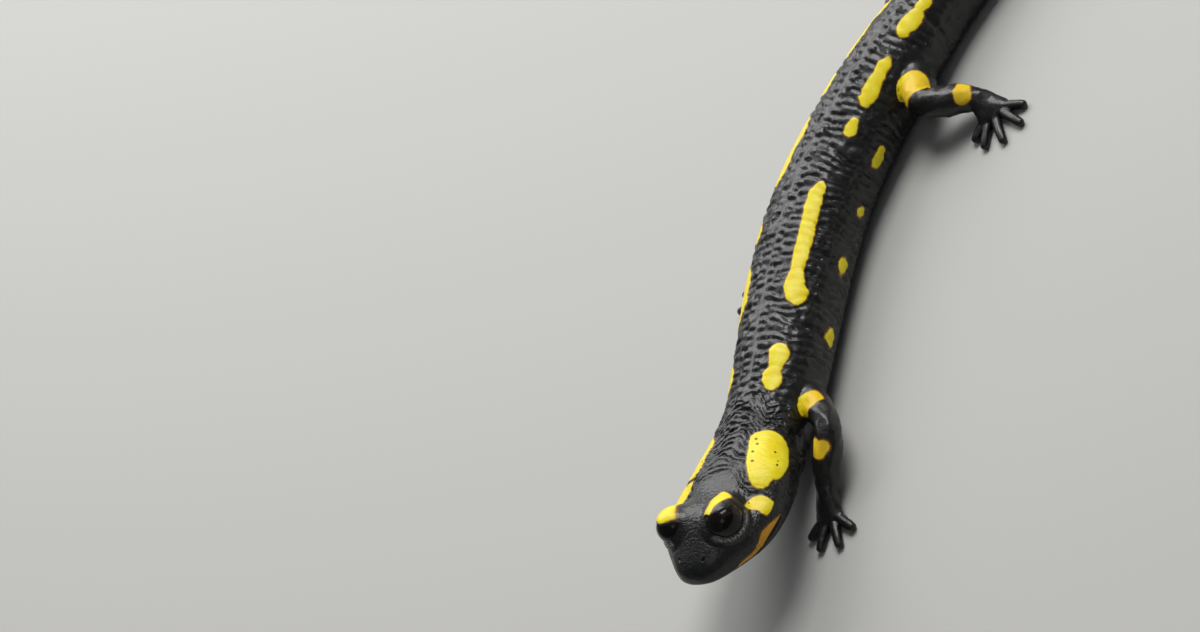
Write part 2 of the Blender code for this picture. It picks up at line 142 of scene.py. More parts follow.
def make_line():
    """Rows over the station: the station, the middle (the running sum of the tailward direction) and
    the directions across, up and tailward. Pitch and roll fade out between the head and the neck."""
    station = np.linspace(0.0, TOTAL, LINE_STEPS)
    heading = np.radians(STANCE_TURN + keyed(station, *zip(*HEADING)))
    held = 1.0 - keyed(station, (HEAD_BACK, NECK_BACK), (0.0, 1.0))
    pitch, roll = math.radians(HEAD_PITCH) * held, math.radians(HEAD_ROLL) * held
    tailward = np.stack([np.sin(heading) * np.cos(pitch), np.cos(heading) * np.cos(pitch),
                         -np.sin(pitch)], axis=1)
    middle = np.zeros((LINE_STEPS, 3))
    middle[1:] = np.cumsum((tailward[1:] + tailward[:-1]) * station[1] / 2, axis=0)
    middle[:, 2] += landmark_curve(station, LEVEL) - np.interp(NECK_BACK, station, middle[:, 2])
    level = np.stack([np.cos(heading), -np.sin(heading), 0 * heading], axis=1)
    above = np.cross(level, tailward)
    c, s = np.cos(roll)[:, None], np.sin(roll)[:, None]
    return station, middle, level * c + above * s, above * c - level * s, tailward


LINE_STATION, LINE_MIDDLE, LINE_ACROSS, LINE_UP, LINE_TAILWARD = make_line()


def at_each(at, known, rows):
    """The three columns of rows that stand at known places, read by straight lines at any others."""
    return np.stack([np.interp(at, known, rows[:, k]) for k in range(3)], axis=-1)


def read(rows, station):
    """Three coordinates of the body's line, read at any stations."""
    return at_each(station, LINE_STATION, rows)


def place(station, across, up):
    """The middle of the body at a station, plus across and up times their directions there."""
    across, up = np.asarray(across, float)[..., None], np.asarray(up, float)[..., None]
    return read(LINE_MIDDLE, station) + across * read(LINE_ACROSS, station) + up * read(LINE_UP, station)


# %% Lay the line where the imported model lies, by one solid whose place on the body is known
EYE_STATION, EYE_ACROSS, EYE_UP = 8.05, 4.75, 4.95
eye_low, eye_high = (np.array(corner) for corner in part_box("eye_L"))
LINE_MIDDLE += (eye_low + eye_high) / 2 / METRES - place(EYE_STATION, EYE_ACROSS, EYE_UP)
tail_high = np.array(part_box("tail_tip")[1]) / METRES
print("tip of the line", LINE_MIDDLE[-1].round(1), "mm; tail solid ends at", tail_high.round(1), "mm")

# %% [markdown]
# ## The bare form: rings of half ellipses
# The trunk of a salamander is a little flatter below than above, and its snout and tail tip are round.
# A lattice-bent cylinder would do for a cartoon, but here each ring is two half ellipses, squared a
# little, whose sizes come from the landmarks. The rings stand close together on the head and neck,
# where folds are fine, and further apart on the tail, and the points of a ring crowd towards the back.

# %% Where the rings stand, and where their points lie
NOSE_ROUND, NOSE_POWER = 6.4, 2.4
TIP_ROUND = 3.0
TOP_POWER, BELLY_POWER = 2.1, 2.3
# keys and values: millimetres between rings over the station, degrees between points over the angle
RING_SPACING = ((3, 16, 34, 42, 112, 150, 194), (0.17, 0.17, 0.19, 0.27, 0.33, 0.5, 0.5))
POINT_SPACING = ((0, 112, 150, 180), (1.15, 1.15, 2.3, 2.6))
INTEGRAL_STEPS = 4001


def spread(start, end, keys, spacings):
    """Places from start to end whose spacing follows a curve: equal steps of the integral of 1 over it."""
    fine = np.linspace(start, end, INTEGRAL_STEPS)
    between = (fine[1:] + fine[:-1]) / 2
    count = np.concatenate([[0], np.cumsum(np.diff(fine) / keyed(between, keys, spacings))])
    return np.interp(np.linspace(0, count[-1], round(count[-1]) + 1), count, fine)


NOSE_ANGLES = np.radians(np.linspace(2.0, 58.0, 40))
TIP_ANGLES = np.radians(np.linspace(60.0, 5.0, 10))
nose_stations = NOSE_ROUND * (1 - np.cos(NOSE_ANGLES))
tip_stations = TOTAL - TIP_ROUND * (1 - np.cos(TIP_ANGLES))
run = spread(nose_stations[-1], tip_stations[0], *RING_SPACING)
STATIONS = np.concatenate([nose_stations[:-1], run, tip_stations[1:]])
half_turn = spread(0.0, 180.0, *POINT_SPACING)
ANGLES = np.radians(np.concatenate([-half_turn[:0:-1], half_turn[:-1]]))
station, angle = np.meshgrid(STATIONS, ANGLES, indexing="ij")
print(len(STATIONS), "rings of", len(ANGLES), "points")


# %% The bare ring, and how far round the skin a point is
def end_rounding(station):
    """How much of its full size a ring has: a squared quarter ellipse at the snout, a round one behind."""
    front = np.clip(station / NOSE_ROUND, 0, 1)
    back = np.clip((TOTAL - station) / TIP_ROUND, 0, 1)
    return (1 - (1 - front) ** NOSE_POWER) ** (1 / NOSE_POWER) * np.sqrt(1 - (1 - back) ** 2)


def ring_sizes(station, angle):
    """Half width, the height above or the depth below the widest level, and the power of the ring."""
    rounding = end_rounding(station)
    upper = np.cos(angle) > 0
    half_height = np.where(upper, landmark_curve(station, ABOVE), landmark_curve(station, BELOW)) * rounding
    half_width = landmark_curve(station, HALF_WIDTH) * rounding
    return half_width, half_height, 2 / np.where(upper, TOP_POWER, BELLY_POWER)


def bare_ring(station, angle):
    """Across and up: the half width times the sine and the half height times the cosine, each raised
    to a power just under 1 with its sign kept."""
    half_width, half_height, power = ring_sizes(station, angle)
    return (half_width * np.sign(np.sin(angle)) * np.abs(np.sin(angle)) ** power,
            half_height * np.sign(np.cos(angle)) * np.abs(np.cos(angle)) ** power)


def mean_radius(station):
    """The mean of the half width and the height above, which turns an angle into a distance."""
    return (landmark_curve(station, HALF_WIDTH) + landmark_curve(station, ABOVE)) / 2


def round_the_skin(station, angle):
    """Millimetres round the skin from the middle of the back, left positive: angle times mean radius."""
    return angle * mean_radius(station)


arc = round_the_skin(station, angle)
print("girth at the belly:", round(2 * float(np.abs(arc[:, 0]).max()), 1), "mm")


# %% Smooth noise, for everything that is irregular
RIPPLE_CALM = 1.6
COBBLE_TABLE = (97, 89)
COBBLE_RANGE = (0.12, 0.88)


def ripple(x, y, size, seed, waves=26):
    """Noise that mostly stays within 1 of zero, with rare peaks past 2: the sum of plane waves near one
    length, in directions and phases drawn once from a seed, over the root of half their number."""
    draw = np.random.default_rng(seed)
    way, phase = draw.uniform(0, 2 * np.pi, (2, waves))
    number = 2 * np.pi / size * draw.uniform(0.6, 1.5, waves)
    total = sum(np.cos(n * (x * math.cos(w) + y * math.sin(w)) + p) for n, w, p in zip(number, way, phase))
    return total / math.sqrt(waves / 2) / RIPPLE_CALM


def cobbles(x, y, cell, seed):
    """Distance, in cells, to the nearest of a field of points: one point in every cell of a grid, moved
    by a random amount that depends on the cell alone."""
    table = np.random.default_rng(seed).uniform(*COBBLE_RANGE, (2, *COBBLE_TABLE))
    column, row = np.floor(x / cell).astype(int), np.floor(y / cell).astype(int)
    nearest = np.full(np.shape(x), np.inf)
    for i in (-1, 0, 1):
        for j in (-1, 0, 1):
            moved = table[:, (column + i) % COBBLE_TABLE[0], (row + j) % COBBLE_TABLE[1]]
            dx, dy = column + i + moved[0] - x / cell, row + j + moved[1] - y / cell
            nearest = np.minimum(nearest, np.hypot(dx, dy))
    return nearest


sample = ripple(station, arc, 3.0, 1)
print("ripple spans", round(float(sample.min()), 2), "to", round(float(sample.max()), 2))

# %% [markdown]
# ## Where the yellow lies
# Each animal has its own pattern for life: a broken stripe down each side of the back, a patch over
# each gland behind the eye, one on the cheek and each lid, a band along the lip and blots on the limbs.
# An image could be painted on, but a painted edge blurs close up. Here a plain patch is a few
# overlapping ovals and a patch that shows well is a closed outline, both given by station and by
# millimetres round from the middle of the back. What is kept is the distance inside the edge, so the
# edge is as sharp as the material wants it.

# %% The patches of the back and sides: station, round the skin, half length, half width
LEFT_OVALS = (
    (93.0, 5.3, 3.6, 1.6), (97.4, 5.0, 2.6, 1.3), (106.5, 4.3, 3.3, 1.7), (110.5, 3.9, 2.2, 1.2),
    (119.5, 3.5, 4.2, 1.5), (125.0, 3.1, 3.0, 1.05), (137.0, 2.8, 4.4, 1.2), (150.5, 2.3, 3.2, 1.1),
    (158.0, 2.1, 5.0, 0.85), (173.0, 1.7, 4.2, 0.8), (184.0, 1.2, 2.2, 0.7),
    (47.0, 13.4, 1.7, 1.2), (60.5, 13.2, 2.0, 1.0), (72.0, 13.6, 1.4, 0.9), (83.0, 12.4, 2.4, 1.1),
)
RIGHT_OVALS = (
    (39.4, -5.9, 2.6, 1.9), (55.2, -5.4, 4.8, 1.9), (50.6, -6.9, 2.0, 1.5),
    (65.3, -5.4, 1.8, 1.3), (77.6, -4.8, 4.2, 1.8), (82.4, -4.7, 3.4, 1.8), (92.0, -4.9, 2.6, 1.6),
    (101.0, -4.7, 4.4, 1.5), (107.0, -4.4, 2.8, 1.6),
    (117.0, -3.6, 3.2, 1.4), (129.0, -3.0, 4.4, 1.2), (133.6, -3.2, 2.0, 1.4), (145.0, -2.5, 3.6, 1.0),
    (162.0, -2.0, 5.4, 0.9), (178.0, -1.5, 3.4, 0.75),
    (45.0, -13.0, 1.8, 1.2), (62.0, -13.6, 2.2, 1.0), (78.0, -12.6, 1.6, 1.1), (89.0, -12.2, 2.0, 1.0),
)
PATCH_JOIN = 0.55
# the depth that stands for a place with no patch near it
FAR_OUT = -9.0

# %% The patches that show best, each as corners of a closed outline: station and round the skin
OUTLINES = {
    "left gland": ((24.9, 2.3), (22.1, 2.5), (19.6, 2.9), (17.2, 3.8), (15.9, 4.6), (15.3, 5.6), (15.4, 6.7),
                   (16.0, 7.3), (17.2, 7.6), (18.1, 8.6), (20.6, 9.3), (23.4, 9.2), (25.8, 8.2), (26.9, 5.9),
                   (26.4, 3.6)),
    "left cheek": ((11.7, 5.1), (13.9, 5.9), (14.6, 7.2), (14.3, 8.9), (13.8, 9.5), (12.2, 9.6), (11.5, 9.2),
                   (11.5, 8.0), (11.7, 7.6), (11.5, 6.4)),
    "left lid": ((6.6, 1.8), (7.2, 1.15), (9.0, 1.1), (11.0, 1.0), (13.2, 1.15), (13.7, 1.7), (13.2, 2.5),
                 (11.8, 3.2), (11.1, 3.15), (10.5, 2.85), (9.6, 2.5), (8.8, 2.3), (7.9, 2.15), (7.0, 2.1)),
    "right lid": ((10.8, -2.6), (9.1, -1.8), (8.0, -1.5), (7.1, -1.4), (6.4, -1.8), (5.9, -2.4), (5.9, -3.4),
                  (6.6, -4.8), (8.5, -5.4), (10.5, -5.0), (11.6, -3.8)),
    "right gland": ((26.6, -5.0), (25.3, -4.1), (24.0, -3.9), (21.3, -4.3), (18.9, -4.4), (18.2, -5.4),
                    (18.5, -7.6), (19.8, -10.2), (23.4, -10.9), (26.6, -9.4), (27.4, -6.4)),
    "right temple": ((17.3, -5.0), (16.5, -4.5), (15.2, -5.3), (13.6, -6.4), (13.2, -7.8), (13.9, -9.3),
                     (16.0, -9.5), (17.5, -8.2), (17.6, -6.0)),
    "left stripe": ((74.7, 5.0), (73.6, 6.0), (71.0, 6.3), (67.0, 6.5), (63.0, 6.7), (59.0, 6.5),
                    (57.1, 6.35), (54.4, 7.0), (53.2, 7.8), (51.7, 7.6), (50.3, 6.2), (51.2, 4.4),
                    (53.2, 3.4), (55.0, 3.4), (57.0, 3.85), (59.0, 3.8), (62.6, 3.8), (66.5, 3.7),
                    (70.3, 3.4), (73.2, 3.75)),
    "upper lobe": ((43.6, 3.9), (43.3, 5.4), (42.0, 6.3), (40.3, 6.1), (38.7, 5.3), (38.2, 4.4), (39.0, 3.4),
                   (40.8, 2.9), (42.5, 2.8)),
    "lower lobe": ((39.8, 4.2), (38.9, 5.0), (37.3, 5.7), (35.6, 5.3), (34.5, 4.2), (35.0, 3.0), (36.6, 2.2),
                   (38.4, 2.5)),
    "left spot": ((85.6, 4.4), (86.9, 4.6), (87.7, 5.5), (86.4, 6.6), (84.5, 6.8), (83.7, 5.8), (84.3, 4.7)),
}


def smooth_most(first, second, reach):
    """The larger of two fields, rounded over a reach where they are nearly equal."""
    share = np.clip(0.5 + 0.5 * (first - second) / reach, 0, 1)
    return second + (first - second) * share + reach * share * (1 - share)


def inside_ovals(station, arc, ovals):
    """Millimetres inside the nearest edge: for each oval 1 less the scaled distance from its middle,
    times its smaller half size, joined by the smooth larger."""
    field = np.full(np.shape(station), FAR_OUT)
    for s, u, half_length, half_width in ovals:
        reach = np.hypot((station - s) / half_length, (arc - u) / half_width)
        field = smooth_most(field, (1 - reach) * min(half_length, half_width), PATCH_JOIN)
    return field


def closed_curve(corners, steps=6):
    """A smooth closed line through corners: on each side the cubic that leaves and arrives along the
    line between the two corners next to the one it touches."""
    corner = np.array(corners)
    before, start, end, after = (np.roll(corner, shift, axis=0)[:, None] for shift in (1, 0, -1, -2))
    t = np.linspace(0, 1, steps, endpoint=False)[None, :, None]
    curve = (start + (end - before) * t / 2 + (2 * before - 5 * start + 4 * end - after) * t**2 / 2
             + (3 * start - before - 3 * end + after) * t**3 / 2)
    return curve.reshape(-1, 2)


def inside_outline(station, arc, corners, margin=2.0):
    """Millimetres inside a closed outline: the distance to the nearest of its short sides, positive
    where the way to one side crosses the outline an odd number of times."""
    curve = closed_curve(corners)
    field = np.full(np.shape(station), FAR_OUT)
    (low_s, low_u), (high_s, high_u) = curve.min(axis=0) - margin, curve.max(axis=0) + margin
    close = (station > low_s) & (station < high_s) & (arc > low_u) & (arc < high_u)
    s, u = station[close], arc[close]
    squared, inside = np.full(s.shape, FAR_OUT**2), np.zeros(s.shape, bool)
    for (s1, u1), (s2, u2) in zip(curve, np.roll(curve, -1, axis=0)):
        ds, du = s2 - s1, (u2 - u1) or 1e-9
        along = np.clip(((s - s1) * ds + (u - u1) * du) / (ds**2 + du**2), 0, 1)
        squared = np.minimum(squared, (s - s1 - along * ds) ** 2 + (u - u1 - along * du) ** 2)
        inside ^= ((u1 > u) != (u2 > u)) & (s < s1 + (u - u1) * ds / du)
    field[close] = np.where(inside, 1, -1) * np.sqrt(squared)
    return field


# heights over the station: of the mouth, from snout to jaw corner, and of the top of the upper lip's band
MOUTH = ((0.0, 3.4, 6.0, 8.0, 9.5, 11.3, 13.6, 14.8), (-0.9, -1.35, -1.35, -0.95, -0.55, -0.2, 0.0, -0.2))
LIP_TOP = ((2.2, 3.4, 4.6, 6.2, 7.6, 9.4, 11.1, 13.2, 14.2),
           (-1.5, -1.15, -0.35, -0.2, 0.45, 1.2, 1.0, 0.45, -0.5))
LIP_START, LIP_END, LIP_OVERLAP = 2.2, 14.4, 0.02


def mouth_line(station):
    """The height of the mouth, counted from the widest level of the head."""
    return keyed(station, *MOUTH)


def lip_field(station, up):
    """The band along the upper lip: inside it between the mouth line and a curve above it."""
    within = np.minimum(keyed(station, *LIP_TOP) - up, up - mouth_line(station) + LIP_OVERLAP)
    return np.where((station > LIP_START) & (station < LIP_END), within, FAR_OUT)


def back_patches(station, arc):
    """All the patches of the head, back and sides, with a slightly uneven edge."""
    field = inside_ovals(station, arc, LEFT_OVALS + RIGHT_OVALS) + 0.14 * ripple(station, arc, 2.6, 71)
    for corners in OUTLINES.values():
        field = smooth_most(field, inside_outline(station, arc, corners), PATCH_JOIN)
    notched = 0.10 * ripple(station, arc * 0.4, 1.6, 73) * smoothstep(28.0, 34.0, station)
    return field + notched + 0.04 * ripple(station, arc, 0.8, 72)


patch = back_patches(station, arc)
print("yellow of the back:", round(float((patch > 0).mean()) * 100, 1), "% of the grid")

# %% [markdown]
# ## The domes of the eyes
# A salamander's eyes stand up from the head like beads pressed into dough: a hood of skin comes over
# the ball from the middle of the head, and low on the outside a thin bumpy lid hugs it. Two spheres
# stuck on the head would meet it in a hard line. Here each ring is pushed outwards to the surface of
# a ball, and the larger of the two forms is taken with a rounded corner, so the dome grows out of the
# head. Then the skin inside the opening is drawn in, under the eyeball that comes later.

# %% Directions and sizes of an eye
EYE_RADIUS = 2.98
HOOD_RADIUS = 3.25
# the swelling of the lid behind each ball: how far back, outward and up, and its radius
SWELLINGS = {1: (1.9, -0.75, -0.2, 2.75), -1: (1.4, -0.6, -0.5, 2.5)}
SWELLING_JOIN, HEAD_JOIN = 0.75, 1.3
DOMES_END = 17.0
# the walk in to the domes starts this far outside the head, and goes this share of the way to it
WALK_START, WALK_SHARE = 5.0, 0.9
# how far under the surface of the ball the skin within the lids is drawn
DRAWN_IN = 0.3
# station, across and up of each ball; no animal is quite even
EYE_PLACES = {1: (8.25, 4.65, 5.0), -1: (7.85, -4.75, 4.6)}
GAZE_TURN, GAZE_RISE = math.radians(62.0), math.radians(14.0)


def eye_directions(side):
    """Back along the lids, outward along the gaze, and up the eye, as (tailward, across, up)."""
    ahead, outward, level = math.cos(GAZE_TURN), math.sin(GAZE_TURN), math.cos(GAZE_RISE)
    gaze = np.array([-ahead * level, side * outward * level, math.sin(GAZE_RISE)])
    back = np.array([outward, side * ahead, 0.0])
    raised = np.cross(back, gaze) * side
    return np.stack([back, gaze, raised])


# the hood covers the side of the ball that faces its pole, given as back, gaze and up the eye,
# down to this height along it
HOODS = {1: (np.array([0.20, -0.12, 0.97]), 0.66), -1: (np.array([0.30, 0.0, 0.95]), 0.46)}


def from_eye(station, across, up, side):
    """The way from the middle of an eye to a place, and its length."""
    away = np.stack(np.broadcast_arrays(station, across, up), axis=-1) - EYE_PLACES[side]
    return away, np.maximum(np.linalg.norm(away, axis=-1), 1e-6)


def dome_gap(station, across, up, side):
    """Distance to the whole dome: the smaller, rounded, of those to the ball and to the swelling."""
    back, outward, above, radius = SWELLINGS[side]
    _, to_ball = from_eye(station, across, up, side)
    _, to_swelling = from_eye(station - back, across - side * outward, up - above, side)
    return -smooth_most(HOOD_RADIUS - to_ball, radius - to_swelling, SWELLING_JOIN)


def raise_domes(station, across, up, steps=60):
    """Walk in along each ray from outside by the smaller, rounded, of two distances, to the head and to
    the domes, until it touches."""
    bare = np.hypot(across, up)
    x, z = across / bare, up / bare
    out = bare + WALK_START
    for _ in range(steps):
        gap = WALK_SHARE * (out - bare)
        for side in (1, -1):
            gap = -smooth_most(-gap, -dome_gap(station, out * x, out * z, side), HEAD_JOIN)
        out = out - gap
    return out * x, out * z


def open_lids(station, across, up, side):
    """Draw the skin within the opening in towards the middle of the eye: all of it that lies near the
    ball and not under the hood."""
    away, distance = from_eye(station, across, up, side)
    pole, height = HOODS[side]
    under_hood = (away / distance[..., None] @ eye_directions(side).T) @ pole / np.linalg.norm(pole) - height
    near = smoothstep(HOOD_RADIUS + 0.17, HOOD_RADIUS + 0.04, distance)
    opened = near * smoothstep(0.02, -0.03, under_hood)
    scale = 1 + opened * (np.minimum((EYE_RADIUS - DRAWN_IN) / distance, 1) - 1)
    return np.moveaxis(EYE_PLACES[side] + away * scale[..., None], -1, 0)


def skull(station, angle):
    """What an oval ring is grown by: more where the crown is filled between the eyes, less at the
    temples behind them and on the flatter right side of this head."""
    degrees = np.degrees(angle)
    crown = 0.29 * hill(station, 8.6, 4.0) * hill(degrees, 0.0, 30.0)
    temples = -0.12 * hill(station, 13.4, 3.0) * hill(np.abs(degrees), 42.0, 20.0)
    right_side = -0.10 * hill(station, 18.5, 4.0) * hill(degrees, -45.0, 25.0)
    right_nape = 0.06 * hill(station, 30.0, 4.0) * hill(degrees, -45.0, 30.0)
    return 1 + crown + temples + right_side + right_nape


across, up = np.stack(bare_ring(station, angle)) * skull(station, angle)
head_rings = STATIONS < DOMES_END
across[head_rings], up[head_rings] = raise_domes(station[head_rings], across[head_rings], up[head_rings])
print("the eye domes stand", round(float(up[head_rings].max()), 2), "mm above the widest level")

# %% [markdown]
# ## Glands, folds and grain
# The skin of this animal is never smooth. Broad swellings (the glands behind the eyes), grooves between
# the ribs, crossing creases on the neck, two rows of round glands on the spine, and a fine pebble
# overall lie on top of each other. Sculpting them by hand would be slow and would differ at each run.
# Here each kind is one formula of the station and of the distance round the skin, a few lines long, and
# the sum is added to the ring along the way outwards.


# %% Shapes that the folds are made of
# how far a gland strays along and across its row, and in size, and how many draws there are
DOME_STRAY, DOME_DRAWS = (0.45, 0.75, 0.35), 211


def furrows(phase, sharp=2.2):
    """Valleys at every whole number of the phase, with broad round backs between: minus (1 less the
    size of the sine) to a power that makes them narrow."""
    return -((1 - np.abs(np.sin(np.pi * phase))) ** sharp)


def domes(station, arc, pitch, row, seed, radius=(0.66, 0.80)):
    """A row of round glands along the back: one to each length of the pitch, moved a little at random,
    each 1 less the square of the scaled distance, and nothing outside."""
    draw = np.random.default_rng(seed)
    table = draw.uniform(-0.5, 0.5, (3, DOME_DRAWS))
    first = np.floor(station / pitch).astype(int)
    height = np.zeros(np.shape(station))
    for k in (-1, 0, 1):
        i = first + k
        stray = [most * part for most, part in zip(DOME_STRAY, table[:, i % DOME_DRAWS])]
        s, u, size = (i + 0.5 + stray[0]) * pitch, row + stray[1], 1 + stray[2]
        far = ((station - s) / (radius[0] * size)) ** 2 + ((arc - u) / (radius[1] * size)) ** 2
        height = np.maximum(height, size * np.clip(1 - far, 0, 1))
    return height


# %% The broad glands and hollows of the head
def head_relief(station, arc, angle, up):
    """Parotoid glands as a bell with a flat top, the cheeks, a groove at the mouth between a lip and a
    fuller lower jaw, and the folds of throat and neck."""
    degrees = np.degrees(angle)
    oval = ((station - 20.0) / 6.6) ** 2 + ((np.abs(degrees) - 52.0) / 31.0) ** 2
    swell = np.where(degrees > 0, 0.50, 0.20)
    gland = swell * np.exp(-((station - 18.5) / 5.2) ** 2 - ((np.abs(degrees) - 52.0) / 24.0) ** 2)
    gland += 0.42 * np.exp(-(oval**2.2))
    bump = 0.35 * hill(station, 17.6, 1.5) * hill(arc, -3.6, 1.5)
    cheek = 0.22 * hill(station, 12.7, 2.0) * hill(np.abs(degrees), 64, 15)
    crown_ridge = 0.1 * hill(station, 13.0, 4.0) * hill(np.abs(degrees), 20, 7)
    line = mouth_line(station)
    at_side = smoothstep(15.3, 14.2, station)
    mouth = -0.34 * hill(up, line, 0.17) * at_side
    lip_and_jaw = (0.13 * hill(up, line + 0.55, 0.5) * at_side
                   + 0.40 * hill(up, line - 1.1, 0.75) * hill(station, 10.0, 3.6))
    corner = -0.3 * hill(station, 14.9, 0.55) * hill(up, -0.7, 0.5)
    below = smoothstep(88, 112, np.abs(degrees))
    throat_fold = (-0.32 * hill(station, 27.2 - 1.2 * hill(degrees, 180, 40), 0.55)
                   + 0.25 * hill(station, 25.6, 1.3)) * below
    neck_side = (-0.28 * hill(station, 28.6, 0.7) * smoothstep(55, 75, np.abs(degrees))
                 * smoothstep(150, 112, np.abs(degrees)))
    return gland + bump + cheek + crown_ridge + mouth + lip_and_jaw + corner + throat_fold + neck_side


def nostrils(station, arc):
    """A small pit with a low rim on each side of the snout: a wide shallow bell less a narrow deep one."""
    far = np.hypot(station - 2.25, (np.abs(arc) - 2.3) * 1.15)
    return 0.06 * np.exp(-((far - 0.42) / 0.2) ** 2) - 0.45 * np.exp(-((far / 0.22) ** 2))


# %% Creases that cross the neck, back and flanks
RIB_PITCH = 4.7
SPINE_PITCH, OUTER_PITCH = 1.52, 1.7


def neck_creases(station, arc):
    """Close creases across the nape, bowed backwards in the middle, that die out on the yellow gland."""
    bowed = station + 0.2 * np.minimum(arc**2, 16.0) + 0.55 * ripple(station, arc, 5.0, 11)
    where = smoothstep(15.8, 18.5, bowed) * smoothstep(37.0, 30.0, station)
    side = 0.35 + 0.65 * smoothstep(9.5, 6.0, np.abs(arc))
    coarse = furrows(bowed / 1.12 + 0.12 * ripple(station, arc, 1.9, 12))
    fine = furrows(bowed / 0.55 + 0.35 * ripple(station, arc, 2.2, 13), 1.6)
    patchy = 0.55 + 0.45 * ripple(station, arc, 3.4, 14)
    return where * side * (0.42 * coarse * np.clip(patchy + 0.35, 0.35, 1.2) + 0.13 * fine)


def trunk_folds(station, arc):
    """Grooves between the ribs on the flanks, with finer folds between them, all crossing the body."""
    on_trunk = window(station, 31.0, 39.0, 104.0, 118.0)
    outward = np.abs(arc)
    flank, back = window(outward, 4.2, 7.5, 14.0, 19.0), window(outward, 1.2, 2.4, 17.0, 22.0)
    drift = 0.50 * ripple(station, arc, 8.0, 21) + 0.06 * ripple(station, arc, 2.6, 22)
    ribs = furrows((station - 39.2 + 0.16 * outward + 0.5 * drift) / RIB_PITCH, 4.0)
    ribs *= smoothstep(41.0, 45.0, station)
    folds = furrows((station + drift) / 1.62, 1.7)
    fine = furrows((station + 0.8 * drift) / 0.98 + 0.12 * ripple(station, arc, 3.0, 23), 1.5)
    strength = np.clip(0.72 + 0.45 * ripple(station * 0.5, arc, 3.4, 24), 0.25, 1.3)
    return on_trunk * (0.42 * ribs * flank + (0.34 + 0.10 * flank) * folds * strength * back
                       + 0.13 * fine * back * np.clip(1.5 - strength, 0.4, 1.1))


def spine_glands(station, arc):
    """Two staggered rows of round glands beside the shallow furrow of the spine, smaller ones out from
    them, and one to each rib on the flanks."""
    here = window(station, 23.5, 27.0, 96.0, 150.0)
    small, low = (0.5, 0.46), (0.6, 0.55)
    rows = (domes(station, arc, SPINE_PITCH, 0.95, 31)
            + domes(station + SPINE_PITCH / 2, arc, SPINE_PITCH, -0.95, 32))
    outer = (domes(station, arc, OUTER_PITCH, 2.15, 33, small)
             + domes(station + 0.9, arc, OUTER_PITCH, -2.15, 34, small))
    side = domes(station, arc, RIB_PITCH, 9.6, 35, low) + domes(station, arc, RIB_PITCH, -9.6, 36, low)
    furrow = -0.05 * hill(arc, 0.0, 0.5)
    return here * (0.32 * rows + 0.15 * outer + 0.20 * side * smoothstep(36, 42, station) + furrow)


def tail_rings(station, arc):
    """Soft grooves round the tail, one to each joint of the spine, and fine wrinkles between them."""
    on_tail = window(station, 112.0, 120.0, 186.0, 194.0)
    drift = 0.35 * ripple(station, arc, 5.0, 41)
    size = landmark_curve(station, HALF_WIDTH) / 5.0
    joints = furrows((station + drift) / keyed(station, (112, 195), (3.9, 2.6)), 3.5)
    fine = furrows((station + drift) / 1.05 + 0.3 * ripple(station, arc, 2.0, 42), 1.6)
    return on_tail * size * (0.22 * joints + 0.08 * fine)


def pebble(station, arc):
    """The grain of the skin: low domes of about half a millimetre, finer on the head than on the trunk."""
    coarse = smoothstep(0.62, 0.1, cobbles(station, arc, 0.72, 51))
    fine = smoothstep(0.62, 0.1, cobbles(station, arc, 0.42, 52))
    on_head = smoothstep(22.0, 14.0, station)
    snout = smoothstep(1.5, 6.0, station)
    lumps = 0.07 * ripple(station, arc, 2.3, 53)
    return (0.040 * coarse + lumps) * (1 - on_head) + 0.080 * fine * on_head * snout


# %% Add it all up and push the skin out by it
YELLOW_CALM, YELLOW_SWELL = 0.85, 0.09
EYES_END = 13


def relief(station, arc, angle, up, patch):
    """Every height in millimetres. Yellow skin is thicker, so it swells a little and shows folds less."""
    yellow = smoothstep(-0.25, 0.35, patch)
    creased = neck_creases(station, arc) + trunk_folds(station, arc) + tail_rings(station, arc)
    rough = spine_glands(station, arc) + pebble(station, arc)
    off_belly = smoothstep(165.0, 120.0, np.abs(np.degrees(angle)))
    shown = 1 - YELLOW_CALM * yellow
    return (head_relief(station, arc, angle, up) + nostrils(station, arc)
            + creased * shown * (0.35 + 0.65 * off_belly) + rough * shown * off_belly
            + YELLOW_SWELL * yellow)


height = relief(station, arc, angle, up, patch)
size = np.hypot(across, up)
height *= smoothstep(0.0, 1.2, size)
near_eye = np.minimum(dome_gap(station, across, up, 1), dome_gap(station, across, up, -1))
height *= np.where(station < EYES_END, 1 - 0.8 * smoothstep(0.5, 0.05, near_eye), 1)
across, up = across * (1 + height / size), up * (1 + height / size)
print("relief from", round(float(height.min()), 2), "to", round(float(height.max()), 2), "mm")


# %% Open the lids, with a bumpy rim round the low side of each eye
def lid_rim(station, across, up, side):
    """Height of the low lid: a narrow bell round the distance at which the head meets the ball, on the
    outer and lower side, beaded along its length."""
    away, distance = from_eye(station, across, up, side)
    back, gaze, raised = np.moveaxis(away / distance[..., None] @ eye_directions(side).T, -1, 0)
    low = smoothstep(0.25, -0.2, raised) * smoothstep(-0.5, 0.1, gaze)
    turn = np.arctan2(raised, back)
    beads = 0.85 + 0.15 * np.sin(turn * 15.0 + side) * np.sin(turn * 7.3)
    return low * (0.36 * beads * hill(distance, 3.6, 0.28) - 0.12 * hill(distance, 4.3, 0.35))


